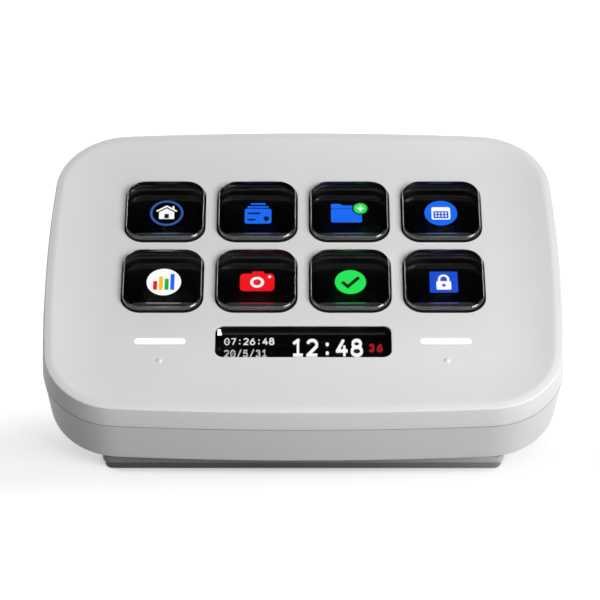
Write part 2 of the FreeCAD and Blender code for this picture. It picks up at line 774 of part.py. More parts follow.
def chassis_plate():
    body = plate("chassis_plate", CHASSIS_UNDER, "chassis_thickness", f"(2 * {CHASSIS_SIDE})",
                 f"({CHASSIS_BACK} - {CHASSIS_FRONT})", "chassis_corner",
                 f"(({CHASSIS_BACK} + {CHASSIS_FRONT}) / 2)")
    screw_holes(body, CHASSIS_TOP, "chassis_thickness + overrun", "small_screw_radius + screw_clearance",
                CHASSIS_SCREWS)


# Display bar

def info_lens():
    """The clear window of the display bar, let into the plate and held by a flange under it."""
    body = slab_body("info_lens")
    flange_level = f"({PLATE_UNDER} - lens_flange)"
    flange = new_sketch(body, flange_level)
    rounded_rectangle(flange, "(info_width + 2 * lens_border)", "(info_depth + 2 * lens_border)",
                      "(info_corner + lens_border)", "0", "0 - info_offset")
    pad(body, flange, "lens_flange")
    window = new_sketch(body, flange_level)
    rounded_rectangle(window, "(info_width - 2 * lens_gap)", "(info_depth - 2 * lens_gap)",
                      "(info_corner - lens_gap)", "0", "0 - info_offset")
    pad(body, window, "lens_flange + plate_thickness - lens_recess")


def info_display():
    plate("info_display", f"({DISPLAY_TOP} - info_display_thickness)", "info_display_thickness",
          "info_display_width", "info_display_depth", "display_corner", INFO_DISPLAY_Y)
    holder_top = f"({PLATE_UNDER} - lens_flange)"
    around = "2 * (tray_clearance + holder_wall)"
    holder = plate("info_holder", CHASSIS_TOP, f"{holder_top} - {CHASSIS_TOP}",
                   f"(info_display_width + {around})", f"(info_display_depth + {around})",
                   "(display_corner + tray_clearance + holder_wall)", INFO_DISPLAY_Y)
    seat = new_sketch(holder, holder_top)
    rounded_rectangle(seat, "(info_display_width + 2 * tray_clearance)",
                      "(info_display_depth + 2 * tray_clearance)", "(display_corner + tray_clearance)",
                      "0", INFO_DISPLAY_Y)
    pocket(holder, seat, f"{holder_top} - {DISPLAY_TOP} + info_display_thickness")


# Light bars

def light_bar(side, x):
    """A clear bar that carries the light up through the face, with a flange under the touch foil."""
    body = slab_body(f"light_bar_{side}", x, "0 - bar_offset")
    foot = f"({CHASSIS_TOP} + led_board_thickness + led_height + led_gap)"
    stem = new_sketch(body, foot)
    slot(stem, "(bar_length - 2 * bar_gap)", "(bar_width - 2 * bar_gap)")
    pad(body, stem, f"{FACE} - bar_recess - {foot}")
    flange = new_sketch(body, f"{PLATE_UNDER} - foil_thickness - bar_flange")
    slot(flange, "(bar_length + 2 * bar_border)", "(bar_width + 2 * bar_border)")
    pad(body, flange, "bar_flange")


def touch_foil(side, x):
    body = slab_body(f"touch_foil_{side}", x, "0 - bar_offset")
    sketch = new_sketch(body, f"{PLATE_UNDER} - foil_thickness")
    rounded_rectangle(sketch, "foil_length", "foil_depth", "display_corner")
    slot(sketch, "bar_length + 2 * bar_gap", "bar_width + 2 * bar_gap")
    pad(body, sketch, "foil_thickness")


def led_board(side, x):
    body = slab_body(f"led_board_{side}", x, "0 - bar_offset")
    board = new_sketch(body, CHASSIS_TOP)
    rounded_rectangle(board, "led_board_length", "led_board_depth", "led_height")
    pad(body, board, "led_board_thickness")
    lamps = new_sketch(body, f"{CHASSIS_TOP} + led_board_thickness")
    for half in ("0 - led_spacing / 2", "led_spacing / 2"):
        rounded_rectangle(lamps, "led_size", "led_size", "led_gap", half, "0")
    pad(body, lamps, "led_height")


def light_bars():
    for side, x in (("left", "0 - bar_spacing / 2"), ("right", "bar_spacing / 2")):
        light_bar(side, x)
        touch_foil(side, x)
        led_board(side, x)


# Circuit board

def main_board():
    body = plate("main_board", BOARD_UNDER, "board_thickness", f"(2 * {BOARD_SIDE})",
                 f"({BOARD_BACK} - {BOARD_FRONT})", "board_corner", f"(({BOARD_BACK} + {BOARD_FRONT}) / 2)")
    screw_holes(body, BOARD_TOP, "board_thickness + overrun", "small_screw_radius + screw_clearance",
                BOARD_SCREWS)
    notch = new_sketch(body, BOARD_TOP)
    half = "(usb_width / 2 + tray_clearance)"
    back = f"({BOARD_BACK} + overrun)"
    front = f"({USB_MOUTH} - usb_length - tray_clearance)"
    polygon(notch, [(f"0 - {half}", front), (half, front), (half, back), (f"0 - {half}", back)])
    pocket(body, notch, "board_thickness + overrun")


def board_chips():
    """Processor, memory and power chips on the underside of the board."""
    body = slab_body("board_chips")
    sketch = new_sketch(body, BOARD_UNDER)
    rounded_rectangle(sketch, "chip_size", "chip_size", "led_height", "0", "0")
    rounded_rectangle(sketch, "memory_width", "memory_depth", "led_height",
                      "chip_size + memory_width / 2", "0")
    rounded_rectangle(sketch, "power_size", "power_size", "led_height",
                      "0 - chip_size - power_size", "chip_row")
    pad(body, sketch, "chip_height", reverse=True)


def usb_port():
    mouth = f"0 - {USB_MOUTH}"
    shell = slab_body("usb_c_port")
    outside = new_sketch(shell, mouth, "XZ_Plane")
    slot(outside, "usb_width", "usb_height", "0", USB_LEVEL)
    pad(shell, outside, "usb_length")
    inside = new_sketch(shell, mouth, "XZ_Plane")
    slot(inside, "(usb_width - 2 * usb_sheet)", "(usb_height - 2 * usb_sheet)", "0", USB_LEVEL)
    pocket(shell, inside, "usb_depth", reverse=True)
    insert = slab_body("usb_c_insert")
    tongue = new_sketch(insert, f"{mouth} + usb_depth", "XZ_Plane")
    rounded_rectangle(tongue, "usb_insert_width", "usb_insert_height", "usb_sheet", "0", USB_LEVEL)
    pad(insert, tongue, "usb_insert_length", reverse=True)


def flex(label, x, start, turn, end, level, connector):
    """A ribbon cable that leaves a display, goes down past the chassis and ends on the board."""
    body = slab_body(label)
    sketch = new_sketch(body, x, "YZ_Plane")
    sign = "+" if value(turn) > value(start) else "-"
    low = f"({BOARD_TOP} + connector_height / 2)"
    thick = "flex_thickness"
    polygon(sketch, [
        (start, level), (f"{turn} {sign} {thick}", level), (f"{turn} {sign} {thick}", f"{low} - {thick}"),
        (end, f"{low} - {thick}"), (end, low), (turn, low), (turn, f"{level} - {thick}"),
        (start, f"{level} - {thick}")])
    pad(body, sketch, "flex_width", both_ways=True)
    rounded_rectangle(connector, "flex_width", "connector_depth", "flex_thickness", x,
                      f"({end} {'-' if sign == '+' else '+'} connector_depth / 2)")


def flexes():
    connectors = slab_body("flex_connectors")
    sockets = new_sketch(connectors, BOARD_TOP)
    tray_back = f"(keys_centre + {DISPLAY_DEPTH} / 2 + tray_clearance + tray_sheet)"
    chassis_back = f"({CHASSIS_BACK} + flex_bow)"
    flex("display_flex", DISPLAY_FLEX_X, tray_back, chassis_back, f"({chassis_back} - flex_reach)",
         f"({TRAY_FLOOR} + backlight_thickness / 2)", sockets)
    holder_front = f"({INFO_DISPLAY_Y} - info_display_depth / 2 - tray_clearance - holder_wall)"
    chassis_front = f"({CHASSIS_FRONT} - flex_bow)"
    flex("info_flex", "0", holder_front, chassis_front, f"({chassis_front} + flex_reach)",
         f"({DISPLAY_TOP} - info_display_thickness)", sockets)
    pad(connectors, sockets, "connector_height")


# Base

def wedge(sketch, inset, under):
    """The base's side outline: flat against the slab's underside above, level below."""
    front, back = f"({BASE_FRONT} + {inset})", f"({BASE_BACK} - {inset})"
    top = "(0 - lower_height)"
    polygon(sketch, [(front, under.format(y=front)), (back, under.format(y=back)), (back, top), (front, top)])


def base_shell():
    """The wedge base, hollow from above, with a level floor and bosses for the screws from the slab."""
    body = slab_body("base_shell")
    outside = new_sketch(body, "0", "YZ_Plane")
    wedge(outside, "0", BASE_UNDER)
    pad(body, outside, f"2 * {BASE_SIDE}", both_ways=True)
    doc.recompute()
    top = value("0 - lower_height")
    close = value("edge_tolerance")

    def upright(edge):
        box = in_own_frame(body, edge)
        return box.XLength < close and box.YLength < close

    def under(edge):
        return in_own_frame(body, edge).ZMax < top - close

    round_edges(body, "base_corner", upright)
    round_edges(body, "base_edge", under)
    hollow = new_sketch(body, "0", "YZ_Plane")
    wedge(hollow, "base_wall", BASE_FLOOR_TOP)
    pocket(body, hollow, f"2 * ({BASE_SIDE} - base_wall)", both_ways=True)
    x, front, step_x, step_y = BASE_SCREWS
    for y in (front, f"({front} + {step_y})"):
        boss = new_sketch(body, "0 - lower_height")
        for side in (x, f"{x} + {step_x}"):
            circle_at(boss, side, y, "base_boss_radius")
        pad(body, boss, f"0 - lower_height - {BASE_UNDER.format(y=y)} - base_floor / 2", reverse=True)
    screw_holes(body, "0 - lower_height", "base_screw_length - floor_thickness + screw_clearance",
                "case_screw_radius + pilot_clearance", BASE_SCREWS)


def rubber_foot():
    """The grey pad that the whole object stands on, a little smaller than the base."""
    middle = (f"(({BASE_BACK} + {BASE_FRONT}) / 2 / cos(tilt * 1deg) "
              f"+ ({LIFT} - foot_thickness) * tan(tilt * 1deg))")
    body = level_body("rubber_foot", middle, "0")
    sketch = new_sketch(body)
    depth = f"(({BASE_BACK} - {BASE_FRONT}) / cos(tilt * 1deg) - 2 * foot_inset)"
    rounded_rectangle(sketch, f"(2 * ({BASE_SIDE} - foot_inset))", depth, "foot_corner")
    pad(body, sketch, "foot_thickness")
    round_edges(body, "foot_edge", lies_at(body, "0"))


def ballast_plate():
    body = level_body("ballast_plate", f"{BASE_BACK} - ballast_back - ballast_depth / 2",
                      "foot_thickness + base_floor")
    sketch = new_sketch(body)
    rounded_rectangle(sketch, f"(2 * ({BASE_SIDE} - ballast_side))", "ballast_depth", "display_corner")
    pad(body, sketch, "ballast_thickness")


# Fasteners

def screws(label, head_level, head_radius, head_height, radius, length, places, up):
    """Four screws in a rectangle. The head bears on head_level and the shank goes up or down from there."""
    x, y, *steps = places
    body = slab_body(label, x, y)
    sketch = new_sketch(body, "0", "XZ_Plane")
    shank, head = ("+", "-") if up else ("-", "+")
    tip = f"({head_level} {shank} {length})"
    cap = f"({head_level} {head} {head_height})"
    polygon(sketch, [("0", cap), (head_radius, cap), (head_radius, head_level), (radius, head_level),
                     (radius, tip), ("0", tip)])
    turned = body.newObject("PartDesign::Revolution", "Revolution")
    turned.Profile = sketch
    turned.ReferenceAxis = (sketch, ["V_Axis"])
    spread = new_sketch(body)
    grid(body, turned, spread, *steps)


def fasteners():
    small = ("small_head_radius", "small_head_height", "small_screw_radius")
    screws("case_screws", "(0 - case_joint_level - case_bridge)", "case_head_radius", "case_head_height",
           "case_screw_radius", "case_screw_length", CASE_SCREWS, up=True)
    screws("chassis_screws", CHASSIS_UNDER, *small, "chassis_screw_length", CHASSIS_SCREWS, up=True)
    screws("board_screws", BOARD_TOP, *small, "board_screw_length", BOARD_SCREWS, up=False)
    screws("base_screws", FLOOR_TOP, "case_head_radius", "base_head_height", "case_screw_radius",
           "base_screw_length", BASE_SCREWS, up=False)


def check_and_write():
    doc.recompute()
    failed = [item.Name for item in doc.Objects if "Invalid" in item.State or "Error" in item.State]
    if failed:
        raise ValueError(f"failed features: {failed}")
    for piece in pieces:
        if piece.Shape.isNull() or not piece.Shape.isValid() or not piece.Shape.Solids:
            raise ValueError(f"{piece.Label} has no valid solid")
    os.makedirs("parts", exist_ok=True)
    for piece in pieces:
        piece.Shape.exportStep(f"parts/{piece.Label}.step")


top_shell()
bottom_shell()
keys()
key_guide()
key_mat()
display()
chassis_plate()
info_lens()
info_display()
light_bars()
main_board()
board_chips()
usb_port()
flexes()
base_shell()
rubber_foot()
ballast_plate()
fasteners()
check_and_write()
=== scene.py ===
"""A desk keypad: eight clear keys over one display, a display bar and two light bars in a dished slab.

Lengths are in millimetres in the slab's own frame, as in the CAD source: x to the right, y up the slope to
the back, z out of the face, zero at the middle of the slab on the joint line. SLAB turns them into metres in
the frame of the whole part.
"""
import math
import bmesh
import bpy
from mathutils import Matrix, Vector
from mathutils.geometry import delaunay_2d_cdt

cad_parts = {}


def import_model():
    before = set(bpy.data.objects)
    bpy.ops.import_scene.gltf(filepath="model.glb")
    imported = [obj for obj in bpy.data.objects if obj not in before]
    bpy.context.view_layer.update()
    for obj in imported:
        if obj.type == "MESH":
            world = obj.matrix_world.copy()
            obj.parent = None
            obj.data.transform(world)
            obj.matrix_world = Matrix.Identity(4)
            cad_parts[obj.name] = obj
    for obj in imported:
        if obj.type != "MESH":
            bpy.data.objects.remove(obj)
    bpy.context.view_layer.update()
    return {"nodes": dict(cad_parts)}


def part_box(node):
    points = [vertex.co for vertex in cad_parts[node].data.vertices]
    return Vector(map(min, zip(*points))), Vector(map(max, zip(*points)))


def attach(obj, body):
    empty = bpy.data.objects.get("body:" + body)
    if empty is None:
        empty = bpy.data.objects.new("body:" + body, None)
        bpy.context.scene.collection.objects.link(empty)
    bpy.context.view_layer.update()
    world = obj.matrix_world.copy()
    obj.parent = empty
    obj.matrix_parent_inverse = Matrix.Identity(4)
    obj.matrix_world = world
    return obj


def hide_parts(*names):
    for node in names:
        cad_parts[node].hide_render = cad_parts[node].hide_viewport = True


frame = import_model()

# Slab, base and foot. An inset is measured from the slab's outline, a level from the joint line.
TILT = math.radians(4.0)
WIDTH = 107.0
DEPTH = 77.9
SIDE_RADIUS = 335.0
END_RADIUS = 716.0
CORNER_RADIUS = 15.9
JOINT_HALF_GAP = 0.12
CREASE = 5.06
CREASE_INSET = 0.54
RIDGE = 5.28
RIDGE_INSET = 2.09
FACE = 3.87
DISH_WIDTH = 11.0
DISH_CORNER = 6.5
PLATE_UNDER = 2.47
CAVITY_INSET = 2.34
REBATE_INSET = 0.9
REBATE_TOP = 1.47
LOWER_HEIGHT = 11.62
CASE_SCREW = (44.6, 29.3)
CASE_BOSS = 2.1
CASE_BOSS_END = -3.9
CASE_BORE = 1.05
CASE_BORE_SHARE = 0.8
BASE_FRONT = 36.48
BASE_WIDTH = 81.0
BASE_FRONT_RISE = 2.195
FOOT = 2.0
FOOT_CORNER = 1.5
FOOT_EDGE = 0.08
LIFT = FOOT + BASE_FRONT_RISE + BASE_FRONT * math.sin(TILT) + LOWER_HEIGHT * math.cos(TILT)

# Keys, display bar, light bars and the raised dots by them
KEY_ROWS = 2
KEY_COLUMNS = 4
PITCH = 19.3
KEYS_CENTRE = 6.7
KEY_OPENING = 16.95
OPENING_CORNER = 4.1
KEY_GAP = 0.35
CAP_TOP = 4.97
CAP_BOTTOM = 1.6
CAP_EDGE = 0.4
CAP_LOWER_EDGE = ((0, 0.15), (0.04, 0.04), (0.15, 0))  # insets, and heights over the cap's underside
SKIRT_LEAN = 0.3  # faces whose normals rise less than this are sides
DISPLAY_TOP = 0.15
WINDOW = (35.75, 8.32)
WINDOW_CORNER = 1.8
WINDOW_Y = -19.0
WINDOW_SOFT = 0.08
LENS_GAP = 0.03
LENS_SUNK = 0.2
LENS_BELOW = 0.05
LENS_TOP = FACE - LENS_SUNK
LENS_BOTTOM = PLATE_UNDER - LENS_BELOW
LENS_EDGE = 0.12
BAR = (10.45, 1.58)
BAR_END = BAR[1] / 2 - 0.01
BAR_SOFT = 0.08
BAR_X = (KEY_COLUMNS - 1) / 2 * PITCH
BAR_Y = -18.98
DOT_Y = -24.07
DOT_RADIUS = 0.65
DOT_HEIGHT = 0.3
DOT_FOOT = (0.566, 0.075)  # radius and height
DOT_DOME = 0.59

# Finish of the moulded edges
EDGE_SOFT = 0.09
EDGE_HOLD = 0.015  # a flat strip beside a soft edge, which keeps the flat face evenly shaded
RIDGE_SOFT = 0.55
CREASE_SOFT = 0.3
JOINT_SOFT = 0.12
CUT_BEFORE = 0.95  # most of the side before a corner that its rounding may take
CUT_AFTER = 0.45  # most of the side after it
DISH_CLEAR = 0.02  # height left between the dish's last ring and the ridge's rounding

# Fineness of the meshes
BAND_STEPS = 8
BOSS_SIDES = 28
DOT_SIDES = 32
SHARP = math.radians(42)
FILL_EPSILON = 1e-7

MM = 0.001
SLAB = Matrix.Scale(MM, 4) @ Matrix.Translation((0, 0, LIFT)) @ Matrix.Rotation(TILT, 4, "X")


# Outlines, as lists of (x, y)

def arc(x, y, radius, start, end, steps, last=False):
    """Points along an arc, without its last one unless it is asked for."""
    count = steps + 1 if last else steps
    angles = [start + (end - start) * step / steps for step in range(count)]
    return [(x + radius * math.cos(angle), y + radius * math.sin(angle)) for angle in angles]


def slab_outline(inset, corner=None, side_steps=28, corner_steps=30):
    """The slab's outline drawn in by an inset: four slightly bowed sides and four round corners."""
    half_width, half_depth = WIDTH / 2 - inset, DEPTH / 2 - inset
    side, end = SIDE_RADIUS - inset, END_RADIUS - inset
    corner = CORNER_RADIUS - inset if corner is None else corner
    side_x, end_y = half_width - side, half_depth - end
    far_side, far_end = side - corner, end - corner
    apart = math.hypot(side_x, end_y)
    along = (far_side ** 2 - far_end ** 2 + apart ** 2) / (2 * apart)
    across = math.sqrt(far_side ** 2 - along ** 2)
    x = side_x - along * side_x / apart - across * end_y / apart
    y = along * end_y / apart - across * side_x / apart
    low, high = math.atan2(y, x - side_x), math.atan2(y - end_y, x)
    half = math.pi
    return (arc(side_x, 0, side, -low, low, side_steps)
            + arc(x, y, corner, low, high, corner_steps)
            + arc(0, end_y, end, high, half - high, side_steps)
            + arc(-x, y, corner, half - high, half - low, corner_steps)
            + arc(-side_x, 0, side, half - low, half + low, side_steps)
            + arc(-x, -y, corner, half + low, half + high, corner_steps)
            + arc(0, -end_y, end, half + high, 2 * half - high, side_steps)
            + arc(x, -y, corner, 2 * half - high, 2 * half - low, corner_steps))


def rounded(x, y, width, depth, radius, steps=10):
    """A rectangle with round corners."""
    points = []
    for turn, (right, back) in enumerate(((1, 1), (-1, 1), (-1, -1), (1, -1))):
        centre_x = x + right * (width / 2 - radius)
        centre_y = y + back * (depth / 2 - radius)
        start = turn * math.pi / 2
        points += arc(centre_x, centre_y, radius, start, start + math.pi / 2, steps, last=True)
    return points


def disc(x, y, radius, steps=40):
    """A circle."""
    return arc(x, y, radius, 0, 2 * math.pi, steps)


# Meshes

def ring(bm, outline, level):
    """The vertices of an outline at a level."""
    return [bm.verts.new((x, y, level)) for x, y in outline]


def bridge(bm, first, second):
    """Join two rings of as many points with a band of faces."""
    count = len(first)
    for here in range(count):
        after = (here + 1) % count
        bm.faces.new((first[here], first[after], second[after], second[here]))


def skin(bm, sections):
    """Rings of (outline, level) in a row, joined with bands. Returns the first and the last ring."""
    rings = [ring(bm, outline, level) for outline, level in sections]
    for first, second in zip(rings, rings[1:]):
        bridge(bm, first, second)
    return rings[0], rings[-1]


def closed_skin(bm, sections):
    """A skin whose first and last rings are filled."""
    for end in skin(bm, sections):
        bm.faces.new(end)
    bm.normal_update()


def inside(point, loop):
    """Whether a point lies in a closed outline of vertices."""
    found = False
    for one, other in zip(loop, loop[-1:] + loop[:-1]):
        a, b = one.co, other.co
        if (a.y > point.y) != (b.y > point.y):
            if point.x < (b.x - a.x) * (point.y - a.y) / (b.y - a.y) + a.x:
                found = not found
    return found


def fill(bm, loops):
    """A flat face with holes: the first loop is its outline, the others are the holes."""
    corners = [vert for loop in loops for vert in loop]
    sides = []
    for loop in loops:
        start = len(sides)
        sides += [(start + here, start + (here + 1) % len(loop)) for here in range(len(loop))]
    flat = [vert.co.xy for vert in corners]
    points, _, triangles, sources, _, _ = delaunay_2d_cdt(flat, sides, [], 0, FILL_EPSILON)
    if not all(sources):
        crossings = [tuple(point) for point, source in zip(points, sources) if not source]
        raise ValueError(f"outlines cross at {crossings[:5]}")
    for triangle in triangles:
        chosen = [corners[sources[index][0]] for index in triangle]
        middle = sum((vert.co for vert in chosen), Vector()) / 3
        if inside(middle, loops[0]) and not any(inside(middle, hole) for hole in loops[1:]):
            bm.faces.new(chosen)


def piece(bm, name, materials, body, replaced=(), frame_matrix=SLAB):
    """Turn a bmesh in millimetres into an object that rides on a body."""
    bmesh.ops.recalc_face_normals(bm, faces=bm.faces)
    for face in bm.faces:
        face.smooth = True
    for edge in bm.edges:
        edge.smooth = not (edge.is_manifold and edge.calc_face_angle() > SHARP)
    mesh = bpy.data.meshes.new(name)
    bm.to_mesh(mesh)
    bm.free()
    mesh.transform(frame_matrix)
    for material in materials:
        mesh.materials.append(material)
    thing = bpy.data.objects.new(name, mesh)
    bpy.context.scene.collection.objects.link(thing)
    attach(thing, body)
    if replaced:
        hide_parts(*replaced)
    return thing


def turned_edge(radius, steps):
    """Offsets (along the first side, along the second) of a round edge between two square sides."""
    turns = [math.pi / 2 * step / steps for step in range(steps + 1)]
    return [(radius * (1 - math.sin(turn)), radius * (1 - math.cos(turn))) for turn in turns]


# Shells

def dish_sections(steps=18):
    """The dish from its flat middle out to the ridge, and the hold ring in the flat."""
    sections = [(slab_outline(RIDGE_INSET + DISH_WIDTH + EDGE_HOLD, DISH_CORNER), FACE)]
    for step in range(steps + 1):
        share = step / steps
        inset = RIDGE_INSET + DISH_WIDTH * (1 - share)
        corner = DISH_CORNER + (CORNER_RADIUS - RIDGE_INSET - DISH_CORNER) * share
        sections.append((slab_outline(inset, corner), FACE + (RIDGE - FACE) * share ** 2))
    return sections


def softened(profile, steps):
    """A line of corners as (inset, level, cut) whose inner corners are rounded from cut to cut.
    A rounding takes at most a share of the sides before and after its corner."""
    points = [profile[0][:2]]
    for before, corner, after in zip(profile, profile[1:], profile[2:]):
        peak = Vector(corner[:2])
        into, out = peak - Vector(before[:2]), Vector(after[:2]) - peak
        start = peak - into.normalized() * min(corner[2], into.length * CUT_BEFORE)
        end = peak + out.normalized() * min(corner[2], out.length * CUT_AFTER)
        for step in range(steps + 1):
            share = step / steps
            point = start * (1 - share) ** 2 + 2 * peak * share * (1 - share) + end * share ** 2
            points.append((point.x, point.y))
    return points + [profile[-1][:2]]


def key_places():
    """Each key's number and middle, from the rear left to the front right."""
    for place in range(KEY_ROWS * KEY_COLUMNS):
        row, column = divmod(place, KEY_COLUMNS)
        across = column - (KEY_COLUMNS - 1) / 2
        back = (KEY_ROWS - 1) / 2 - row
        yield place + 1, across * PITCH, KEYS_CENTRE + back * PITCH


def opening(bm, x, y, width, depth, corner, soft):
    """The wall of an opening in the face, with a soft upper edge.
    Returns the ring in the face round it and the ring under the plate."""
    def outline(grow):
        return rounded(x, y, width + 2 * grow, depth + 2 * grow, corner + grow)

    sections = [(outline(soft + EDGE_HOLD), FACE)]
    sections += [(outline(out), FACE - down) for out, down in turned_edge(soft, steps=6)]
    return skin(bm, sections + [(outline(0), PLATE_UNDER)])


def face_openings(bm):
    """The walls of the openings in the face, as pairs of an upper and a lower ring."""
    for _, x, y in key_places():
        yield opening(bm, x, y, KEY_OPENING, KEY_OPENING, OPENING_CORNER, EDGE_SOFT)
    yield opening(bm, 0, WINDOW_Y, *WINDOW, WINDOW_CORNER, WINDOW_SOFT)
    for side in (-1, 1):
        yield opening(bm, side * BAR_X, BAR_Y, *BAR, BAR_END, BAR_SOFT)


def raised_dot(bm, x, y, steps=8):
    """A small round dome to feel a touch point by, with a soft foot in the face."""
    def round_at(radius, height):
        return disc(x, y, radius, DOT_SIDES), FACE + height

    sections = [round_at(DOT_RADIUS + EDGE_HOLD, 0), round_at(DOT_RADIUS, 0), round_at(*DOT_FOOT)]
    for step in range(2, steps):
        turn = math.pi / 2 * step / steps
        sections.append(round_at(DOT_DOME * math.cos(turn), DOT_HEIGHT * math.sin(turn)))
    rim, top = skin(bm, sections)
    bm.faces.new(top)
    return rim


def boss(bm, x, y):
    """A screw tube under the plate, with a blind bore. Returns its ring in the plate."""
    outside, bore = (disc(x, y, radius, BOSS_SIDES) for radius in (CASE_BOSS, CASE_BORE))
    bore_top = CASE_BOSS_END + (PLATE_UNDER - CASE_BOSS_END) * CASE_BORE_SHARE
    rim, bottom = skin(bm, [(outside, PLATE_UNDER), (outside, CASE_BOSS_END), (bore, CASE_BOSS_END),
                            (bore, bore_top)])
    bm.faces.new(bottom)
    return rim


def top_shell(material):
    """The rim band, the dish and the face with its openings, down to the underside of the plate."""
    bm = bmesh.new()
    dish_end = FACE + (RIDGE - FACE) * (1 - RIDGE_SOFT / DISH_WIDTH) ** 2
    band = softened([(RIDGE_INSET + RIDGE_SOFT, dish_end, 0), (RIDGE_INSET, RIDGE, RIDGE_SOFT),
                     (CREASE_INSET, CREASE, CREASE_SOFT), (0.0, JOINT_HALF_GAP, JOINT_SOFT),
                     (REBATE_INSET, JOINT_HALF_GAP, 0)], BAND_STEPS)
    cavity = [(REBATE_INSET, JOINT_HALF_GAP), (REBATE_INSET, REBATE_TOP), (CAVITY_INSET, REBATE_TOP),
              (CAVITY_INSET, PLATE_UNDER)]
    sections = [section for section in dish_sections() if section[1] < dish_end - DISH_CLEAR]
    sections += [(slab_outline(inset), level) for inset, level in band[1:-1] + cavity]
    flat, under = skin(bm, sections)
    above, below = (list(rings) for rings in zip(*face_openings(bm)))
    dots = [raised_dot(bm, side * BAR_X, DOT_Y) for side in (-1, 1)]
    fill(bm, [flat] + above + dots)
    screw_x, screw_y = CASE_SCREW
    bosses = [boss(bm, x * screw_x, y * screw_y) for x in (-1, 1) for y in (-1, 1)]
    fill(bm, [under] + below + bosses)
    return piece(bm, "top_shell_visual", [material], "root", ["top_shell"])


def foot(material):
    """The pad under the base, level with the desk, with a fine lower edge."""
    bm = bmesh.new()
    low, high = (Vector(corner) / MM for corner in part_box("rubber_foot"))
    middle, size = (low + high) / 2, high - low

    def outline(inset):
        width, depth = size.x - 2 * inset, size.y - 2 * inset
        return rounded(middle.x, middle.y, width, depth, FOOT_CORNER - inset, steps=8)

    closed_skin(bm, [(outline(EDGE_HOLD), FOOT), (outline(0), FOOT - EDGE_HOLD), (outline(0), FOOT_EDGE),
                     (outline(FOOT_EDGE / 3), FOOT_EDGE / 3), (outline(FOOT_EDGE), 0)])
    return piece(bm, "foot_pad", [material], "root", ["rubber_foot"],
                 frame_matrix=Matrix.Scale(MM, 4))


# Clear keys and window

def cap_sections(x, y):
    """The outside of a clear cap from the middle of its top to its underside."""
    size = KEY_OPENING - 2 * KEY_GAP
    corner = OPENING_CORNER - KEY_GAP

    def outline(inset):
        return rounded(x, y, size - 2 * inset, size - 2 * inset, corner - inset, steps=14)

    sections = [(outline(CAP_EDGE + EDGE_HOLD), CAP_TOP)]
    edge = reversed(turned_edge(CAP_EDGE, steps=12))
    sections += [(outline(inset), CAP_TOP - down) for down, inset in edge]
    return sections + [(outline(inset), CAP_BOTTOM + rise) for inset, rise in CAP_LOWER_EDGE]


def key_cap(number, x, y, clear, black, edge):
    """A clear cap with black painted sides and a bright polished edge."""
    bm = bmesh.new()
    closed_skin(bm, cap_sections(x, y))
    for face in bm.faces:
        level = face.calc_center_median().z
        if abs(face.normal.z) < SKIRT_LEAN and level < CAP_TOP - CAP_EDGE:
            face.material_index = 1
        elif CAP_TOP - CAP_EDGE < level < CAP_TOP - FILL_EPSILON:
            face.material_index = 2
    return piece(bm, f"key_{number}_clear_cap", [clear, black, edge], f"key_{number}",
                 [f"key_cap_{number}"])


def window_lens(clear, black):
    """The clear window of the display bar, with black sides."""
    bm = bmesh.new()
    width, depth = WINDOW

    def outline(inset):
        drawn_in = LENS_GAP + inset
        corner = WINDOW_CORNER - drawn_in
        return rounded(0, WINDOW_Y, width - 2 * drawn_in, depth - 2 * drawn_in, corner, steps=12)

    sections = [(outline(LENS_EDGE + EDGE_HOLD), LENS_TOP)]
    edge = reversed(turned_edge(LENS_EDGE, steps=5))
    sections += [(outline(inset), LENS_TOP - down) for down, inset in edge]
    closed_skin(bm, sections + [(outline(0), LENS_BOTTOM)])
    for face in bm.faces:
        face.material_index = 1 if abs(face.normal.z) < SKIRT_LEAN else 0
    return piece(bm, "display_window", [clear, black], "root", ["info_lens"])


# Materials. Scales of noise are in cells per metre, heights of relief in metres.

NOISE_MIDDLE = (0.3, 0.7)  # the part of the noise that is stretched over a range
PATCHES = 60
GLASS_PATCHES = 180
GLASS_WAVES = 90
GLASS_UNEVEN = 0.985
ACRYLIC_IOR = 1.49
COAT_IOR = 2.0
DISPLAY_DOTS = 9000
DISPLAY_UNEVEN = 0.96
DISPLAY_RELIEF = 0.000002
DISPLAY_ROUGH = (0.3, 0.4)
DISPLAY_UNLIT = (0.01, 0.01, 0.01)
# colour of the painted shade on the lower shell's rim in the joint
JOINT_PAINTED_SHADE_COLOUR = (0.5, 0.5, 0.5)
JOINT_SHADE = (-0.02, -0.01)  # where the painted shade starts and where it is full, over the lower shell's rim, in millimetres


def blank_material(name):
    """A material with a single shader: the material, its nodes and the shader."""
    material = bpy.data.materials.new(name)
    material.use_nodes = True
    tree = material.node_tree
    tree.nodes.clear()
    output = tree.nodes.new("ShaderNodeOutputMaterial")
    shader = tree.nodes.new("ShaderNodeBsdfPrincipled")
    tree.links.new(shader.outputs["BSDF"], output.inputs["Surface"])
    return material, tree, shader


def coordinates(tree, kind):
    """A point's own coordinates, or a direction in the sky."""
    return tree.nodes.new("ShaderNodeTexCoord").outputs[kind]


def reach_along(tree, vector, direction):
    """How far a vector reaches along a direction."""
    node = tree.nodes.new("ShaderNodeVectorMath")
    node.operation = "DOT_PRODUCT"
    node.inputs[1].default_value = Vector(direction).normalized()
    tree.links.new(vector, node.inputs[0])
    return node.outputs["Value"]


def noise(tree, scale, detail=3.0):
    """Noise over the object."""
    texture = tree.nodes.new("ShaderNodeTexNoise")
    texture.inputs["Scale"].default_value = scale
    texture.inputs["Detail"].default_value = detail
    tree.links.new(coordinates(tree, "Object"), texture.inputs["Vector"])
    return texture.outputs["Fac"]


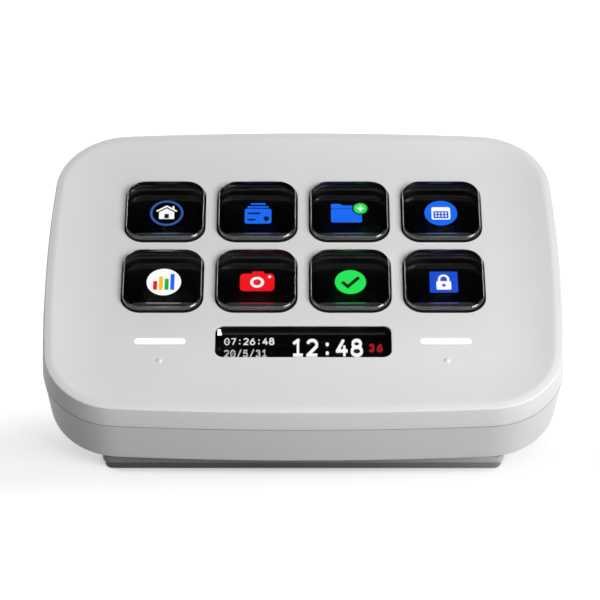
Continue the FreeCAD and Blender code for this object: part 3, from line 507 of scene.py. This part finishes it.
def ramp(tree, source, start, end, low, high, kind="SMOOTHSTEP"):
    """Map one range of values on to another, by a smooth step or a straight line."""
    node = tree.nodes.new("ShaderNodeMapRange")
    node.interpolation_type = kind
    for socket, value in (("From Min", start), ("From Max", end), ("To Min", low), ("To Max", high)):
        node.inputs[socket].default_value = value
    tree.links.new(source, node.inputs["Value"])
    return node.outputs["Result"]


def spread(tree, source, low, high):
    """Map noise on to a range of values."""
    return ramp(tree, source, *NOISE_MIDDLE, low, high, kind="LINEAR")


def maths(tree, operation, first, second):
    """Join two values by an operation."""
    node = tree.nodes.new("ShaderNodeMath")
    node.operation = operation
    tree.links.new(first, node.inputs[0])
    tree.links.new(second, node.inputs[1])
    return node.outputs[0]


def blend(tree, share, first, second):
    """Mix two colours, each given as three numbers or as a socket."""
    mix = tree.nodes.new("ShaderNodeMix")
    mix.data_type = "RGBA"
    tree.links.new(share, mix.inputs["Factor"])
    for name, colour in (("A", first), ("B", second)):
        if isinstance(colour, tuple):
            mix.inputs[name].default_value = (*colour, 1)
        else:
            tree.links.new(colour, mix.inputs[name])
    return mix.outputs["Result"]


def mottle(tree, source, first, second):
    """Mix two colours by noise."""
    return blend(tree, spread(tree, source, 0, 1), first, second)


def relief(tree, shader, source, height):
    """Bump of a real height."""
    bump = tree.nodes.new("ShaderNodeBump")
    bump.inputs["Strength"].default_value = 1.0
    bump.inputs["Distance"].default_value = height
    tree.links.new(source, bump.inputs["Height"])
    tree.links.new(bump.outputs["Normal"], shader.inputs["Normal"])


def shade(colour, share):
    """A colour made darker or lighter by a share."""
    return tuple(channel * share for channel in colour)


def finish(name, colour, rough, vary=0.04, grain=2500, depth=0.00001, metal=0.0, shine=0.5, coat=0.0):
    """A surface with uneven colour and polish and a fine grain. rough is a range."""
    material, tree, shader = blank_material(name)
    patches = mottle(tree, noise(tree, PATCHES), shade(colour, 1 - vary), shade(colour, 1 + vary))
    tree.links.new(patches, shader.inputs["Base Color"])
    fine = noise(tree, grain, detail=2.0)
    tree.links.new(spread(tree, fine, *rough), shader.inputs["Roughness"])
    relief(tree, shader, fine, depth)
    shader.inputs["Metallic"].default_value = metal
    shader.inputs["Specular IOR Level"].default_value = shine
    shader.inputs["Coat Weight"].default_value = coat
    shader.inputs["Coat IOR"].default_value = COAT_IOR
    return material


def painted_joint_shade(material):
    """Paint shade on what lies over the lower shell's rim, far down in the joint, where the gap's shadow
    falls.
    """
    tree = material.node_tree
    shader = next(node for node in tree.nodes if node.type == "BSDF_PRINCIPLED")
    colour = shader.inputs["Base Color"].links[0].from_socket
    level = reach_along(tree, coordinates(tree, "Object"), (0, -math.sin(TILT), math.cos(TILT)))
    rim = LIFT * math.cos(TILT) - JOINT_HALF_GAP
    start, end = ((rim + above) * MM for above in JOINT_SHADE)
    joint_shade_mask = ramp(tree, level, start, end, 0, 1)
    tree.links.new(blend(tree, joint_shade_mask, colour, JOINT_PAINTED_SHADE_COLOUR), shader.inputs["Base Color"])
    return material


def glass(name, tint, rough=0.02, coat=0.0, ripple=0.000002):
    """Clear acrylic with a faintly uneven polish. rough is its upper end."""
    material, tree, shader = blank_material(name)
    patches = noise(tree, GLASS_PATCHES)
    tree.links.new(mottle(tree, patches, shade(tint, GLASS_UNEVEN), tint), shader.inputs["Base Color"])
    tree.links.new(spread(tree, patches, 0.0, rough), shader.inputs["Roughness"])
    relief(tree, shader, noise(tree, GLASS_WAVES, detail=1.0), ripple)
    shader.inputs["Transmission Weight"].default_value = 1.0
    shader.inputs["IOR"].default_value = ACRYLIC_IOR
    shader.inputs["Coat Weight"].default_value = coat
    shader.inputs["Coat IOR"].default_value = COAT_IOR
    return material


def lit(name, colour, strength=1.0):
    """A lit area of a display, slightly uneven from dot to dot."""
    material, tree, shader = blank_material(name)
    dots = noise(tree, DISPLAY_DOTS, detail=1.0)
    uneven = mottle(tree, dots, shade(colour, DISPLAY_UNEVEN), colour)
    tree.links.new(uneven, shader.inputs["Emission Color"])
    tree.links.new(spread(tree, dots, *DISPLAY_ROUGH), shader.inputs["Roughness"])
    relief(tree, shader, dots, DISPLAY_RELIEF)
    shader.inputs["Base Color"].default_value = (*DISPLAY_UNLIT, 1)
    shader.inputs["Emission Strength"].default_value = strength
    return material


def linear(red, green, blue):
    """A colour given as 0 to 255 on screen, as light, by the sRGB formula."""
    def channel(value):
        value /= 255
        return value / 12.92 if value <= 0.04045 else ((value + 0.055) / 1.055) ** 2.4

    return channel(red), channel(green), channel(blue)


MOULDED_GREY = ((0.80, 0.80, 0.80), (0.42, 0.52))
MOULDED_GRAIN = {"vary": 0.012, "grain": 4200, "depth": 0.000006}
BLACK_PAINT = ((0.004, 0.004, 0.0044), (0.3, 0.4))
BLACK_PLASTIC = (0.006, 0.006, 0.0065)

SHELL = finish("shell_plastic", *MOULDED_GREY, **MOULDED_GRAIN)
# The lower shell's plastic, with painted shade on its rim in the joint
LOWER_SHELL_WITH_PAINTED_SHADE = painted_joint_shade(finish("lower_shell_plastic_painted_shade", *MOULDED_GREY, **MOULDED_GRAIN))
# The base's and the foot's dark greys are partly their own colour and partly painted shade under the slab's
# overhang
BASE_GREY_AND_SHADE = finish("base_plastic_and_painted_shade", (0.15, 0.15, 0.152), (0.4, 0.55), vary=0.06)
FOOT_RUBBER_AND_SHADE = finish("foot_rubber_and_painted_shade", (0.064, 0.064, 0.065), (0.55, 0.7), vary=0.1, grain=1800, depth=0.00002)
LENS_SIDE = finish("lens_side_paint", *BLACK_PAINT, vary=0.1, shine=0.05)
SKIRT = finish("skirt_paint", *BLACK_PAINT, vary=0.1, shine=0.05, coat=1.0)
BLACK = finish("black_plastic", BLACK_PLASTIC, (0.5, 0.6), vary=0.1, shine=0.08)
MAT = finish("black_silicone", BLACK_PLASTIC, (0.6, 0.75), vary=0.1, shine=0.08)
DISPLAY = finish("display_glass", (0.0015, 0.0015, 0.0017), (0.04, 0.08), vary=0.1, depth=0.0000005)
STEEL = finish("zinc_steel", (0.6, 0.6, 0.61), (0.25, 0.42), metal=1.0)
BOARD = finish("solder_mask", (0.03, 0.18, 0.09), (0.25, 0.35))
AMBER = finish("amber_film", (0.55, 0.36, 0.12), (0.25, 0.35))
CREAM = finish("cream_nylon", (0.75, 0.72, 0.62), (0.4, 0.5))
WHITE = finish("white_reflector", (0.9, 0.9, 0.88), (0.4, 0.5))
KEY_EDGE = glass("cap_edge", (1.0, 1.0, 1.0), coat=1.0)
KEY_CLEAR = glass("clear_cap", (1.0, 1.0, 1.0))
LENS = glass("window_lens", (0.97, 0.97, 0.975), rough=0.008, ripple=0.0000003)
BAR_LIGHT = lit("light_bar", (1.0, 1.0, 1.0), 1.1)

NODE_FINISHES = {
    "bottom_shell": LOWER_SHELL_WITH_PAINTED_SHADE, "base_shell": BASE_GREY_AND_SHADE, "key_guide": BLACK, "key_mat": MAT,
    "display_panel": DISPLAY, "backlight_panel": WHITE, "display_tray": STEEL, "chassis_plate": STEEL,
    "info_display": DISPLAY, "info_holder": BLACK, "light_bar_left": BAR_LIGHT,
    "light_bar_right": BAR_LIGHT, "touch_foil_left": AMBER, "touch_foil_right": AMBER,
    "led_board_left": BOARD, "led_board_right": BOARD, "main_board": BOARD, "board_chips": BLACK,
    "usb_c_port": STEEL, "usb_c_insert": BLACK, "display_flex": AMBER, "info_flex": AMBER,
    "flex_connectors": CREAM, "ballast_plate": STEEL, "case_screws": STEEL, "chassis_screws": STEEL,
    "board_screws": STEEL, "base_screws": STEEL,
}
NODE_FINISHES.update({f"key_collar_{number}": BLACK for number, _, _ in key_places()})


def dress_nodes():
    """Give the nodes that are shown as they are their materials."""
    for node, material in NODE_FINISHES.items():
        mesh = frame["nodes"][node].data
        mesh.materials.clear()
        mesh.materials.append(material)


# Flat lit signs on a display, as thin plates. Every shape is a list of loops: its outline, then its holes.

SHARP_TURN = math.radians(70)
MITRE_LIMIT = 0.5
SIGN_STEP = 0.012  # rise from one shape of a sign to the next
SIGN_SINK = 0.01  # how far a sign reaches into its display


def plate(bm, loops, low, high, material_index):
    """A flat plate between two levels, with holes."""
    before = set(bm.faces)
    tops, bottoms = [], []
    for loop in loops:
        upper, lower = ring(bm, loop, high), ring(bm, loop, low)
        bridge(bm, lower, upper)
        tops.append(upper)
        bottoms.append(lower)
    fill(bm, tops)
    fill(bm, bottoms)
    for face in set(bm.faces) - before:
        face.material_index = material_index


def sign(name, x, y, shapes, size=1.0):
    """A sign at a place on a display: shapes are (material, loops) from the lowest to the highest."""
    bm = bmesh.new()
    materials = []
    for level, (material, loops) in enumerate(shapes, start=1):
        if material not in materials:
            materials.append(material)
        moved = [[(x + across * size, y + along * size) for across, along in loop] for loop in loops]
        plate(bm, moved, DISPLAY_TOP - SIGN_SINK, DISPLAY_TOP + SIGN_STEP * level, materials.index(material))
    return piece(bm, name, materials, "root")


def box(x, y, width, depth, radius):
    """A rectangle with round corners, as a shape."""
    return [rounded(x, y, width, depth, radius, steps=5)]


def dot(x, y, radius):
    """A full circle, as a shape."""
    return [disc(x, y, radius)]


def hoop(x, y, outer, inner):
    """A circle with a round hole, as a shape."""
    return [disc(x, y, radius, steps=64) for radius in (outer, inner)]


def stroke(points, width):
    """A band of even width along an open line of points."""
    line = [Vector(point) for point in points]
    left, right = [], []
    for here, point in enumerate(line):
        into = (point - line[here - 1]).normalized() if here else None
        out = (line[here + 1] - point).normalized() if here + 1 < len(line) else None
        into, out = into or out, out or into
        along = (into + out).normalized()
        reach = width / 2 / max(along.dot(into), MITRE_LIMIT)
        across = Vector((-along.y, along.x)) * reach
        left.append(tuple(point + across))
        right.append(tuple(point - across))
    return [left + right[::-1]]


def strokes(points, width):
    """Bands along an open line, split at its sharp corners, where each band reaches over the corner."""
    runs = [[Vector(points[0])]]
    for before, corner, after in zip(points, points[1:], points[2:]):
        into, out = Vector(corner) - Vector(before), Vector(after) - Vector(corner)
        if into.angle(out) > SHARP_TURN:
            runs[-1].append(Vector(corner) + into.normalized() * width / 2)
            runs.append([Vector(corner) - out.normalized() * width / 2])
        else:
            runs[-1].append(Vector(corner))
    runs[-1].append(Vector(points[-1]))
    return [stroke(run, width) for run in runs]


def closed_stroke(points, width):
    """A band of even width round a closed line of points, as an outline and a hole."""
    line = [Vector(point) for point in points]
    outer, inner = [], []
    for here, point in enumerate(line):
        along = (line[(here + 1) % len(line)] - line[here - 1]).normalized()
        across = Vector((along.y, -along.x)) * width / 2
        outer.append(tuple(point + across))
        inner.append(tuple(point - across))
    return [outer, inner]


def bow(x, y, across, along, start, end, steps=12):
    """Points of an oval arc, with its angles in degrees."""
    turns = [math.radians(start + (end - start) * step / steps) for step in range(steps + 1)]
    return [(x + across * math.cos(turn), y + along * math.sin(turn)) for turn in turns]


def oval(x, y, across, along):
    """Points of a whole oval."""
    return bow(x, y, across, along, 0, 345, steps=23)


# Digits in a cell that is 1 wide and 1 high: lines of points, closed ones marked True
DIGITS = {
    "0": [(oval(0.5, 0.5, 0.44, 0.5), True), ([(0.5, 0.55), (0.5, 0.45)], False)],
    "1": [([(0.14, 0.78), (0.52, 0.98), (0.52, 0.03)], False), ([(0.1, 0.04), (0.94, 0.04)], False)],
    "2": [(bow(0.48, 0.7, 0.4, 0.28, 160, -25) + [(0.1, 0.04), (0.92, 0.04)], False)],
    "3": [(bow(0.46, 0.74, 0.36, 0.22, 155, -90), False), (bow(0.46, 0.28, 0.42, 0.26, 90, -150), False)],
    "4": [([(0.62, 0.98), (0.1, 0.3), (0.98, 0.3)], False), ([(0.7, 0.6), (0.7, 0.0)], False)],
    "5": [([(0.88, 0.96), (0.2, 0.96), (0.16, 0.56)] + bow(0.46, 0.32, 0.42, 0.3, 115, -150), False)],
    "6": [(oval(0.5, 0.31, 0.42, 0.29), True), ([(0.72, 0.97), (0.3, 0.66), (0.1, 0.36)], False)],
    "7": [([(0.06, 0.96), (0.92, 0.96), (0.4, 0.0)], False)],
    "8": [(oval(0.5, 0.75, 0.34, 0.22), True), (oval(0.5, 0.28, 0.42, 0.26), True)],
    "9": [(oval(0.5, 0.69, 0.42, 0.29), True), ([(0.28, 0.03), (0.7, 0.34), (0.9, 0.64)], False)],
}
SLASH = [(0.15, -0.1), (0.85, 1.1)]
COLON_HEIGHTS = (0.16, 0.72)
COLON_DOT = 0.62


def digit_bands(character, x, y, width, height, weight):
    """The bands of light of a digit, a colon or a slash, from its lower left corner."""
    def scaled(points):
        return [(x + across * width, y + along * height) for across, along in points]

    if character == ":":
        return [dot(x + width / 2, y + height * share, weight * COLON_DOT) for share in COLON_HEIGHTS]
    if character == "/":
        return [stroke(scaled(SLASH), weight)]
    bands = []
    for points, closed in DIGITS[character]:
        line = scaled(points)
        bands += [closed_stroke(line, weight)] if closed else strokes(line, weight)
    return bands


def digit_shapes(text, x, y, width, height, advance, weight, material):
    """A row of lit digits, from its left end on its base line."""
    return [(material, band) for place, character in enumerate(text)
            for band in digit_bands(character, x + place * advance, y, width, height, weight)]


# Signs of the keys, in millimetres about their own middle

BLUE_RING = lit("lit_blue_ring", linear(52, 93, 172))
BLUE = lit("lit_blue", linear(20, 110, 255))
DEEP_BLUE = lit("lit_deep_blue", linear(20, 80, 220))
GREEN = lit("lit_green", linear(35, 240, 90))
RED = lit("lit_red", linear(250, 10, 20))
YELLOW = lit("lit_yellow", linear(255, 205, 10))
LEAF = lit("lit_leaf", linear(30, 185, 60))
LIT_WHITE = lit("lit_white", linear(255, 255, 255), 1.08)
TEXT = lit("lit_text", linear(238, 238, 238))
WHITE_TEXT = lit("lit_white_text", linear(255, 255, 255), 1.08)
DIM_TEXT = lit("lit_dim_text", linear(190, 190, 190))
RED_TEXT = lit("lit_red_text", linear(168, 28, 40))
DIM_WHITE = lit("lit_dim_white", linear(150, 140, 145))
DIM_BLUE = lit("lit_dim_blue", linear(75, 95, 135))
DIM_RED = lit("lit_dim_red", linear(150, 40, 50))
DIM_GREEN = lit("lit_dim_green", linear(60, 140, 85))
FAINT = lit("lit_faint", linear(36, 37, 41))
DARK = lit("lit_dark", linear(4, 10, 8))

SIGN_SHIFT_X = 0.1
SIGN_SHIFT_Y = 1.78
SIGN_SIZE = 0.967
UNDERLINE_Y = -5.7
UNDERLINE_EDGE = (0.26, 0.1)
GLOW_BAND = (12.8, 1.2, 0.5)
GLOW_BAND_DROP = 0.45
DISPLAY_LINE_Y = -14.6
DISPLAY_LINE = (33.5, 0.08, 0.03)

# Rows of numbers: text, left end, base line, width and height of a digit, advance, weight and material
CLOCK_ROWS = (
    ("07:26:48", -16.05, -17.3, 1.04, 1.66, 1.3, 0.25, TEXT),
    ("20/5/31", -16.05, -20.6, 1.0, 1.72, 1.28, 0.22, DIM_TEXT),
    ("12:48", -2.3, -20.35, 2.35, 4.15, 3.0, 0.5, WHITE_TEXT),
    ("36", 13.35, -19.2, 1.15, 1.75, 1.6, 0.24, RED_TEXT),
)


def underline(colour, width):
    """The thin line of light under a sign, over a faint band."""
    return [(FAINT, box(0, UNDERLINE_Y - GLOW_BAND_DROP, *GLOW_BAND)),
            (colour, box(0, UNDERLINE_Y, width, *UNDERLINE_EDGE))]


def house():
    """A house with a chimney and a door, in a ring."""
    roof = stroke([(-2.15, 0.5), (0, 1.95), (2.15, 0.5)], 0.36)
    walls = [[(-1.62, -1.65), (1.62, -1.65), (1.62, 0.25), (0, 1.3), (-1.62, 0.25)]]
    return [(BLUE_RING, hoop(0, 0, 3.57, 3.06)), (LIT_WHITE, walls), (LIT_WHITE, roof),
            (LIT_WHITE, box(1.4, 1.55, 0.42, 0.75, 0.06)), (DARK, box(0, -0.9, 0.95, 1.2, 0.08))]


def cards():
    """A card with two more behind it."""
    return [(BLUE, box(0, -0.85, 5.7, 4.2, 0.5)), (BLUE, box(0, 1.75, 4.6, 0.42, 0.2)),
            (BLUE, box(0, 2.6, 3.2, 0.42, 0.2)), (DARK, box(-0.9, -0.1, 2.6, 0.45, 0.2)),
            (DARK, box(-1.4, -1.9, 1.6, 0.45, 0.2)), (DARK, dot(1.75, -1.6, 0.6))]


def folder():
    """A folder with a plus sign at its corner."""
    tab = [[(-3.95, 1.3), (-3.95, 2.35), (-3.7, 2.6), (-2.0, 2.6), (-1.5, 2.15), (1.9, 2.15), (2.2, 1.9),
            (2.2, 1.3)]]
    return [(BLUE, tab), (BLUE, box(-0.65, -0.75, 6.6, 3.8, 0.4)), (DARK, dot(2.35, 1.3, 1.8)),
            (GREEN, dot(2.35, 1.3, 1.47)), (LIT_WHITE, box(2.35, 1.3, 1.5, 0.36, 0.1)),
            (LIT_WHITE, box(2.35, 1.3, 0.36, 1.5, 0.1))]


def calendar():
    """A calendar of two rows of days."""
    days = [box(-1.05 + 0.7 * column, -0.1 - 0.8 * row, 0.38, 0.42, 0.06)
            for column in range(4) for row in range(2)]
    return [(BLUE, dot(0, 0, 3.5)), (LIT_WHITE, box(0, -0.1, 4.0, 3.5, 0.45)),
            (DEEP_BLUE, box(0, -0.5, 3.2, 1.95, 0.2))] + [(LIT_WHITE, day) for day in days]


def chart():
    """Four bars on a disc."""
    heights = ((RED, 2.4), (YELLOW, 3.6), (LEAF, 3.0), (BLUE, 4.3))
    bars = [(colour, box(-1.8 + 1.2 * place, -2.15 + height / 2, 0.85, height, 0.15))
            for place, (colour, height) in enumerate(heights)]
    return [(LIT_WHITE, dot(0, 0, 3.62))] + bars


def photo_camera():
    """A camera with a round lens."""
    return [(RED, box(0, -0.1, 7.25, 4.75, 1.0)), (RED, box(0.2, 2.4, 2.6, 1.0, 0.35)),
            (LIT_WHITE, hoop(0, -0.1, 1.45, 0.85)), (LIT_WHITE, dot(2.6, 1.4, 0.32))]


def tick():
    """A tick on a disc."""
    return [(GREEN, dot(0, 0, 3.27)), (DARK, stroke([(-1.75, 0.0), (-0.55, -1.25), (1.8, 1.25)], 0.75))]


def padlock():
    """A padlock on a square."""
    shackle = stroke([(-0.95, 0.1)] + bow(0, 0.75, 0.95, 1.0, 180, 0) + [(0.95, 0.1)], 0.5)
    return [(DEEP_BLUE, box(0, 0, 5.9, 5.7, 0.35)), (LIT_WHITE, shackle),
            (LIT_WHITE, box(0, -0.95, 3.1, 2.3, 0.3)), (DEEP_BLUE, dot(0, -0.95, 0.38))]


# Each key's sign, with the colour and the width of its underline
SIGNS = ((house, DIM_BLUE, 5.6), (cards, DIM_BLUE, 5.7), (folder, DIM_BLUE, 6.6), (calendar, DIM_BLUE, 6.4),
         (chart, DIM_WHITE, 7.2), (photo_camera, DIM_RED, 7.2), (tick, DIM_GREEN, 6.4),
         (padlock, DIM_BLUE, 5.9))


def lit_signs():
    """Every key's sign on the large display."""
    for (number, x, y), (drawing, colour, width) in zip(key_places(), SIGNS):
        shapes = underline(colour, width) + drawing()
        sign(f"lit_sign_{number}", x + SIGN_SHIFT_X, y + SIGN_SHIFT_Y, shapes, SIGN_SIZE)


def clock():
    """The rows of numbers on the display bar, over a faint line."""
    shapes = [shape for row in CLOCK_ROWS for shape in digit_shapes(*row)]
    shapes.append((FAINT, box(0, DISPLAY_LINE_Y, *DISPLAY_LINE)))
    return sign("lit_clock", 0, 0, shapes)


# Camera: the view in degrees and millimetres of the slab's frame, from a fit to the photograph

VIEW_ANGLE = math.radians(49.2316)
VIEW_DISTANCE = 587.39
VIEW_Y = -8.01
SENSOR = 36.0
FOCAL_PIXELS = 2869.67
IMAGE_PIXELS = 600
CENTRE_PIXELS = 3.25
NEAR_CLIP = 0.01


def eye():
    """The camera's place, in the slab's frame."""
    back, up = VIEW_DISTANCE * math.cos(VIEW_ANGLE), VIEW_DISTANCE * math.sin(VIEW_ANGLE)
    return Vector((0, VIEW_Y - back, FACE + up))


def camera():
    """The view of the photograph."""
    data = bpy.data.cameras.new("camera")
    data.sensor_width = SENSOR
    data.lens = SENSOR * FOCAL_PIXELS / IMAGE_PIXELS
    data.shift_x = -CENTRE_PIXELS / IMAGE_PIXELS
    data.clip_start = NEAR_CLIP
    thing = bpy.data.objects.new("camera", data)
    thing.location = SLAB @ eye()
    aim = SLAB @ Vector((0, VIEW_Y, FACE))
    thing.rotation_euler = (aim - thing.location).to_track_quat("-Z", "Y").to_euler()
    bpy.context.scene.collection.objects.link(thing)
    bpy.context.scene.camera = thing


# Floor, in metres. Its glow is least in a strip along the part's front, where the shadow shows: a painted
# shadow there, over the real one that its diffuse part keeps.

FLOOR_REACH = 1.5
FLOOR_ROUGHNESS = 0.9
FLOOR_BOUNCE = 0.23
FLOOR_SEEN = 0.42
# The glow's low end is the painted shadow strip; the two ranges below are where it rises to full behind and
# before that strip
FLOOR_GLOW = (0.57, 1.0)
GLOW_BEHIND = (-0.032, -0.011)
GLOW_BEFORE = (-0.036, -0.057)
# The painted contact shade: occlusion samples, reach, the occlusion range it spreads over, and the glow it
# leaves
CONTACT_SAMPLES = 12
CONTACT_REACH = 0.0045
CONTACT_SPREAD = (0.32, 0.58)
CONTACT_GLOW = (0.15, 1.0)


def seen_directly(tree):
    """One for rays that show the floor, nought for those that only carry its light."""
    path = tree.nodes.new("ShaderNodeLightPath")
    shown = maths(tree, "MAXIMUM", path.outputs["Is Camera Ray"], path.outputs["Is Glossy Ray"])
    return maths(tree, "MAXIMUM", shown, path.outputs["Is Transmission Ray"])


def floor_glow_with_painted_shadow(tree):
    """The floor's own light from front to back, lowered in a strip along the part's front as a painted
    shadow.
    """
    axes = tree.nodes.new("ShaderNodeSeparateXYZ")
    tree.links.new(coordinates(tree, "Object"), axes.inputs["Vector"])
    behind, before = (ramp(tree, axes.outputs["Y"], *glow_range, *FLOOR_GLOW)
                      for glow_range in (GLOW_BEHIND, GLOW_BEFORE))
    return maths(tree, "MAXIMUM", behind, before)


def painted_contact_shade(tree):
    """A painted soft shade that darkens the floor's glow where something stands close over the floor."""
    contact = tree.nodes.new("ShaderNodeAmbientOcclusion")
    contact.samples = CONTACT_SAMPLES
    contact.inputs["Distance"].default_value = CONTACT_REACH
    return ramp(tree, contact.outputs["AO"], *CONTACT_SPREAD, *CONTACT_GLOW)


def floor_material():
    """Seen directly it is a white sheet that keeps the shadow, with a painted shadow strip and a painted
    contact shade in its glow; what it throws back is less.
    """
    material, tree, shader = blank_material("studio_floor")
    seen = seen_directly(tree)
    grey = blend(tree, seen, (FLOOR_BOUNCE,) * 3, (FLOOR_SEEN,) * 3)
    tree.links.new(grey, shader.inputs["Base Color"])
    glow = maths(tree, "MULTIPLY", painted_contact_shade(tree), floor_glow_with_painted_shadow(tree))
    tree.links.new(maths(tree, "MULTIPLY", seen, glow), shader.inputs["Emission Strength"])
    shader.inputs["Emission Color"].default_value = (1, 1, 1, 1)
    shader.inputs["Roughness"].default_value = FLOOR_ROUGHNESS
    shader.inputs["Specular IOR Level"].default_value = 0.0
    return material


def floor():
    """A level sheet under the part."""
    bm = bmesh.new()
    bmesh.ops.create_grid(bm, x_segments=8, y_segments=8, size=FLOOR_REACH)
    mesh = bpy.data.meshes.new("floor")
    bm.to_mesh(mesh)
    bm.free()
    mesh.materials.append(floor_material())
    thing = bpy.data.objects.new("floor", mesh)
    bpy.context.scene.collection.objects.link(thing)


# Lights. A level is what a white surface that faces the lamp shows.

# Soft boxes: direction from the part, distance, width and height in metres, and level
KEY_LIGHT = ((0.657, -0.463, 0.593), 0.5, 0.25, 0.25, 0.84)
BACK_FILL = ((-0.1, 0.98, 0.16), 0.6, 0.4, 0.22, 0.32)
EDGE_STRIPS = [((side * 0.72, 0.64, 0.27), 0.6, 0.18, 0.14, 0.075) for side in (-1, 1)]

# The glint: where the window mirrors it, in the slab's frame, and its distance in millimetres
GLINT_X = (-17.4, -16.6)
GLINT_Y = (-17.2, -15.6)
GLINT_DISTANCE = 3000.0
GLINT_RADIANCE = 28.0

# The lamp of the base and the foot, in metres
BASE_LIGHT_PLACE = Vector((0.060, -0.058, 0.004))
BASE_LIGHT_SIZE = (0.008, 0.005)
BASE_LIGHT_LEVEL = 2.2

# The sky: directions, the ranges of their reach in which it changes, and its strength there
SKY_DIM_SIDE = (0, 0.598, 0.801)
DIM_CONE = (0.78, 0.94)
DIM_LEVEL = (1.0, 0.04)
SKY_BRIGHT_SIDE = (0.0, -0.2, 1.0)
SKY_SPREAD = (0.5, 0.98)
SKY_LEVEL = (0.0, 1.15)


def world():
    """Light from above, dim where the clear keys mirror the sky to the camera."""
    studio = bpy.data.worlds.new("studio")
    bpy.context.scene.world = studio
    studio.use_nodes = True
    tree = studio.node_tree
    tree.nodes.clear()
    output = tree.nodes.new("ShaderNodeOutputWorld")
    background = tree.nodes.new("ShaderNodeBackground")
    tree.links.new(background.outputs["Background"], output.inputs["Surface"])
    sky = coordinates(tree, "Generated")
    dim = ramp(tree, reach_along(tree, sky, SKY_DIM_SIDE), *DIM_CONE, *DIM_LEVEL)
    bright = ramp(tree, reach_along(tree, sky, SKY_BRIGHT_SIDE), *SKY_SPREAD, *SKY_LEVEL)
    tree.links.new(maths(tree, "MULTIPLY", dim, bright), background.inputs["Strength"])


def lamp(name, place, facing, width, height, energy):
    """A rectangular lamp at a place, turned to face a direction."""
    data = bpy.data.lights.new(name, "AREA")
    data.shape = "RECTANGLE"
    data.size = width
    data.size_y = height
    data.energy = energy
    thing = bpy.data.objects.new(name, data)
    thing.location = place
    thing.rotation_euler = facing.to_track_quat("-Z", "Y").to_euler()
    bpy.context.scene.collection.objects.link(thing)
    return thing


def energy_for(level, distance):
    """The power that a lamp needs to show a level at a distance."""
    return level * (math.pi * distance) ** 2


def soft_box(name, direction, distance, width, height, level):
    """A lamp in a direction from the part, turned to it."""
    away = Vector(direction).normalized()
    return lamp(name, away * distance, -away, width, height, energy_for(level, distance))


def glint():
    """A small far lamp that the window mirrors to the camera in its rear left corner."""
    (left, right), (front, back) = GLINT_X, GLINT_Y
    spot = Vector(((left + right) / 2, (front + back) / 2, LENS_TOP))
    sight = spot - eye()
    away = Vector((sight.x, sight.y, -sight.z)).normalized()
    grown = (GLINT_DISTANCE + sight.length) / sight.length * MM
    width, height = (right - left) * grown, (back - front) * grown * math.sin(VIEW_ANGLE)
    place, facing = SLAB @ (spot + away * GLINT_DISTANCE), SLAB.to_3x3() @ -away
    return lamp("glint", place, facing, width, height, GLINT_RADIANCE * math.pi * width * height)


def base_light():
    """A small low lamp that lights only the base and the foot, most at their right end."""
    corner = Vector((BASE_WIDTH / 2, -BASE_FRONT, FOOT)) * MM
    away = BASE_LIGHT_PLACE - corner
    energy = energy_for(BASE_LIGHT_LEVEL, away.length)
    thing = lamp("base_light", BASE_LIGHT_PLACE, -away, *BASE_LIGHT_SIZE, energy)
    thing.visible_camera = False
    lit_pieces = bpy.data.collections.new("base_light_pieces")
    for name in ("foot_pad", frame["nodes"]["base_shell"].name):
        lit_pieces.objects.link(bpy.data.objects[name])
    thing.light_linking.receiver_collection = lit_pieces


def light():
    """Every lamp."""
    soft_box("key_light", *KEY_LIGHT)
    soft_box("back_fill", *BACK_FILL)
    for strip in EDGE_STRIPS:
        soft_box("edge_strip", *strip)
    glint()
    base_light()


def build():
    """The dressed part in its studio."""
    dress_nodes()
    top_shell(SHELL)
    for number, x, y in key_places():
        key_cap(number, x, y, KEY_CLEAR, SKIRT, KEY_EDGE)
    foot(FOOT_RUBBER_AND_SHADE)
    window_lens(LENS, LENS_SIDE)
    lit_signs()
    clock()
    floor()
    world()
    light()
    camera()


build()
bpy.context.scene.view_settings.view_transform = "Standard"
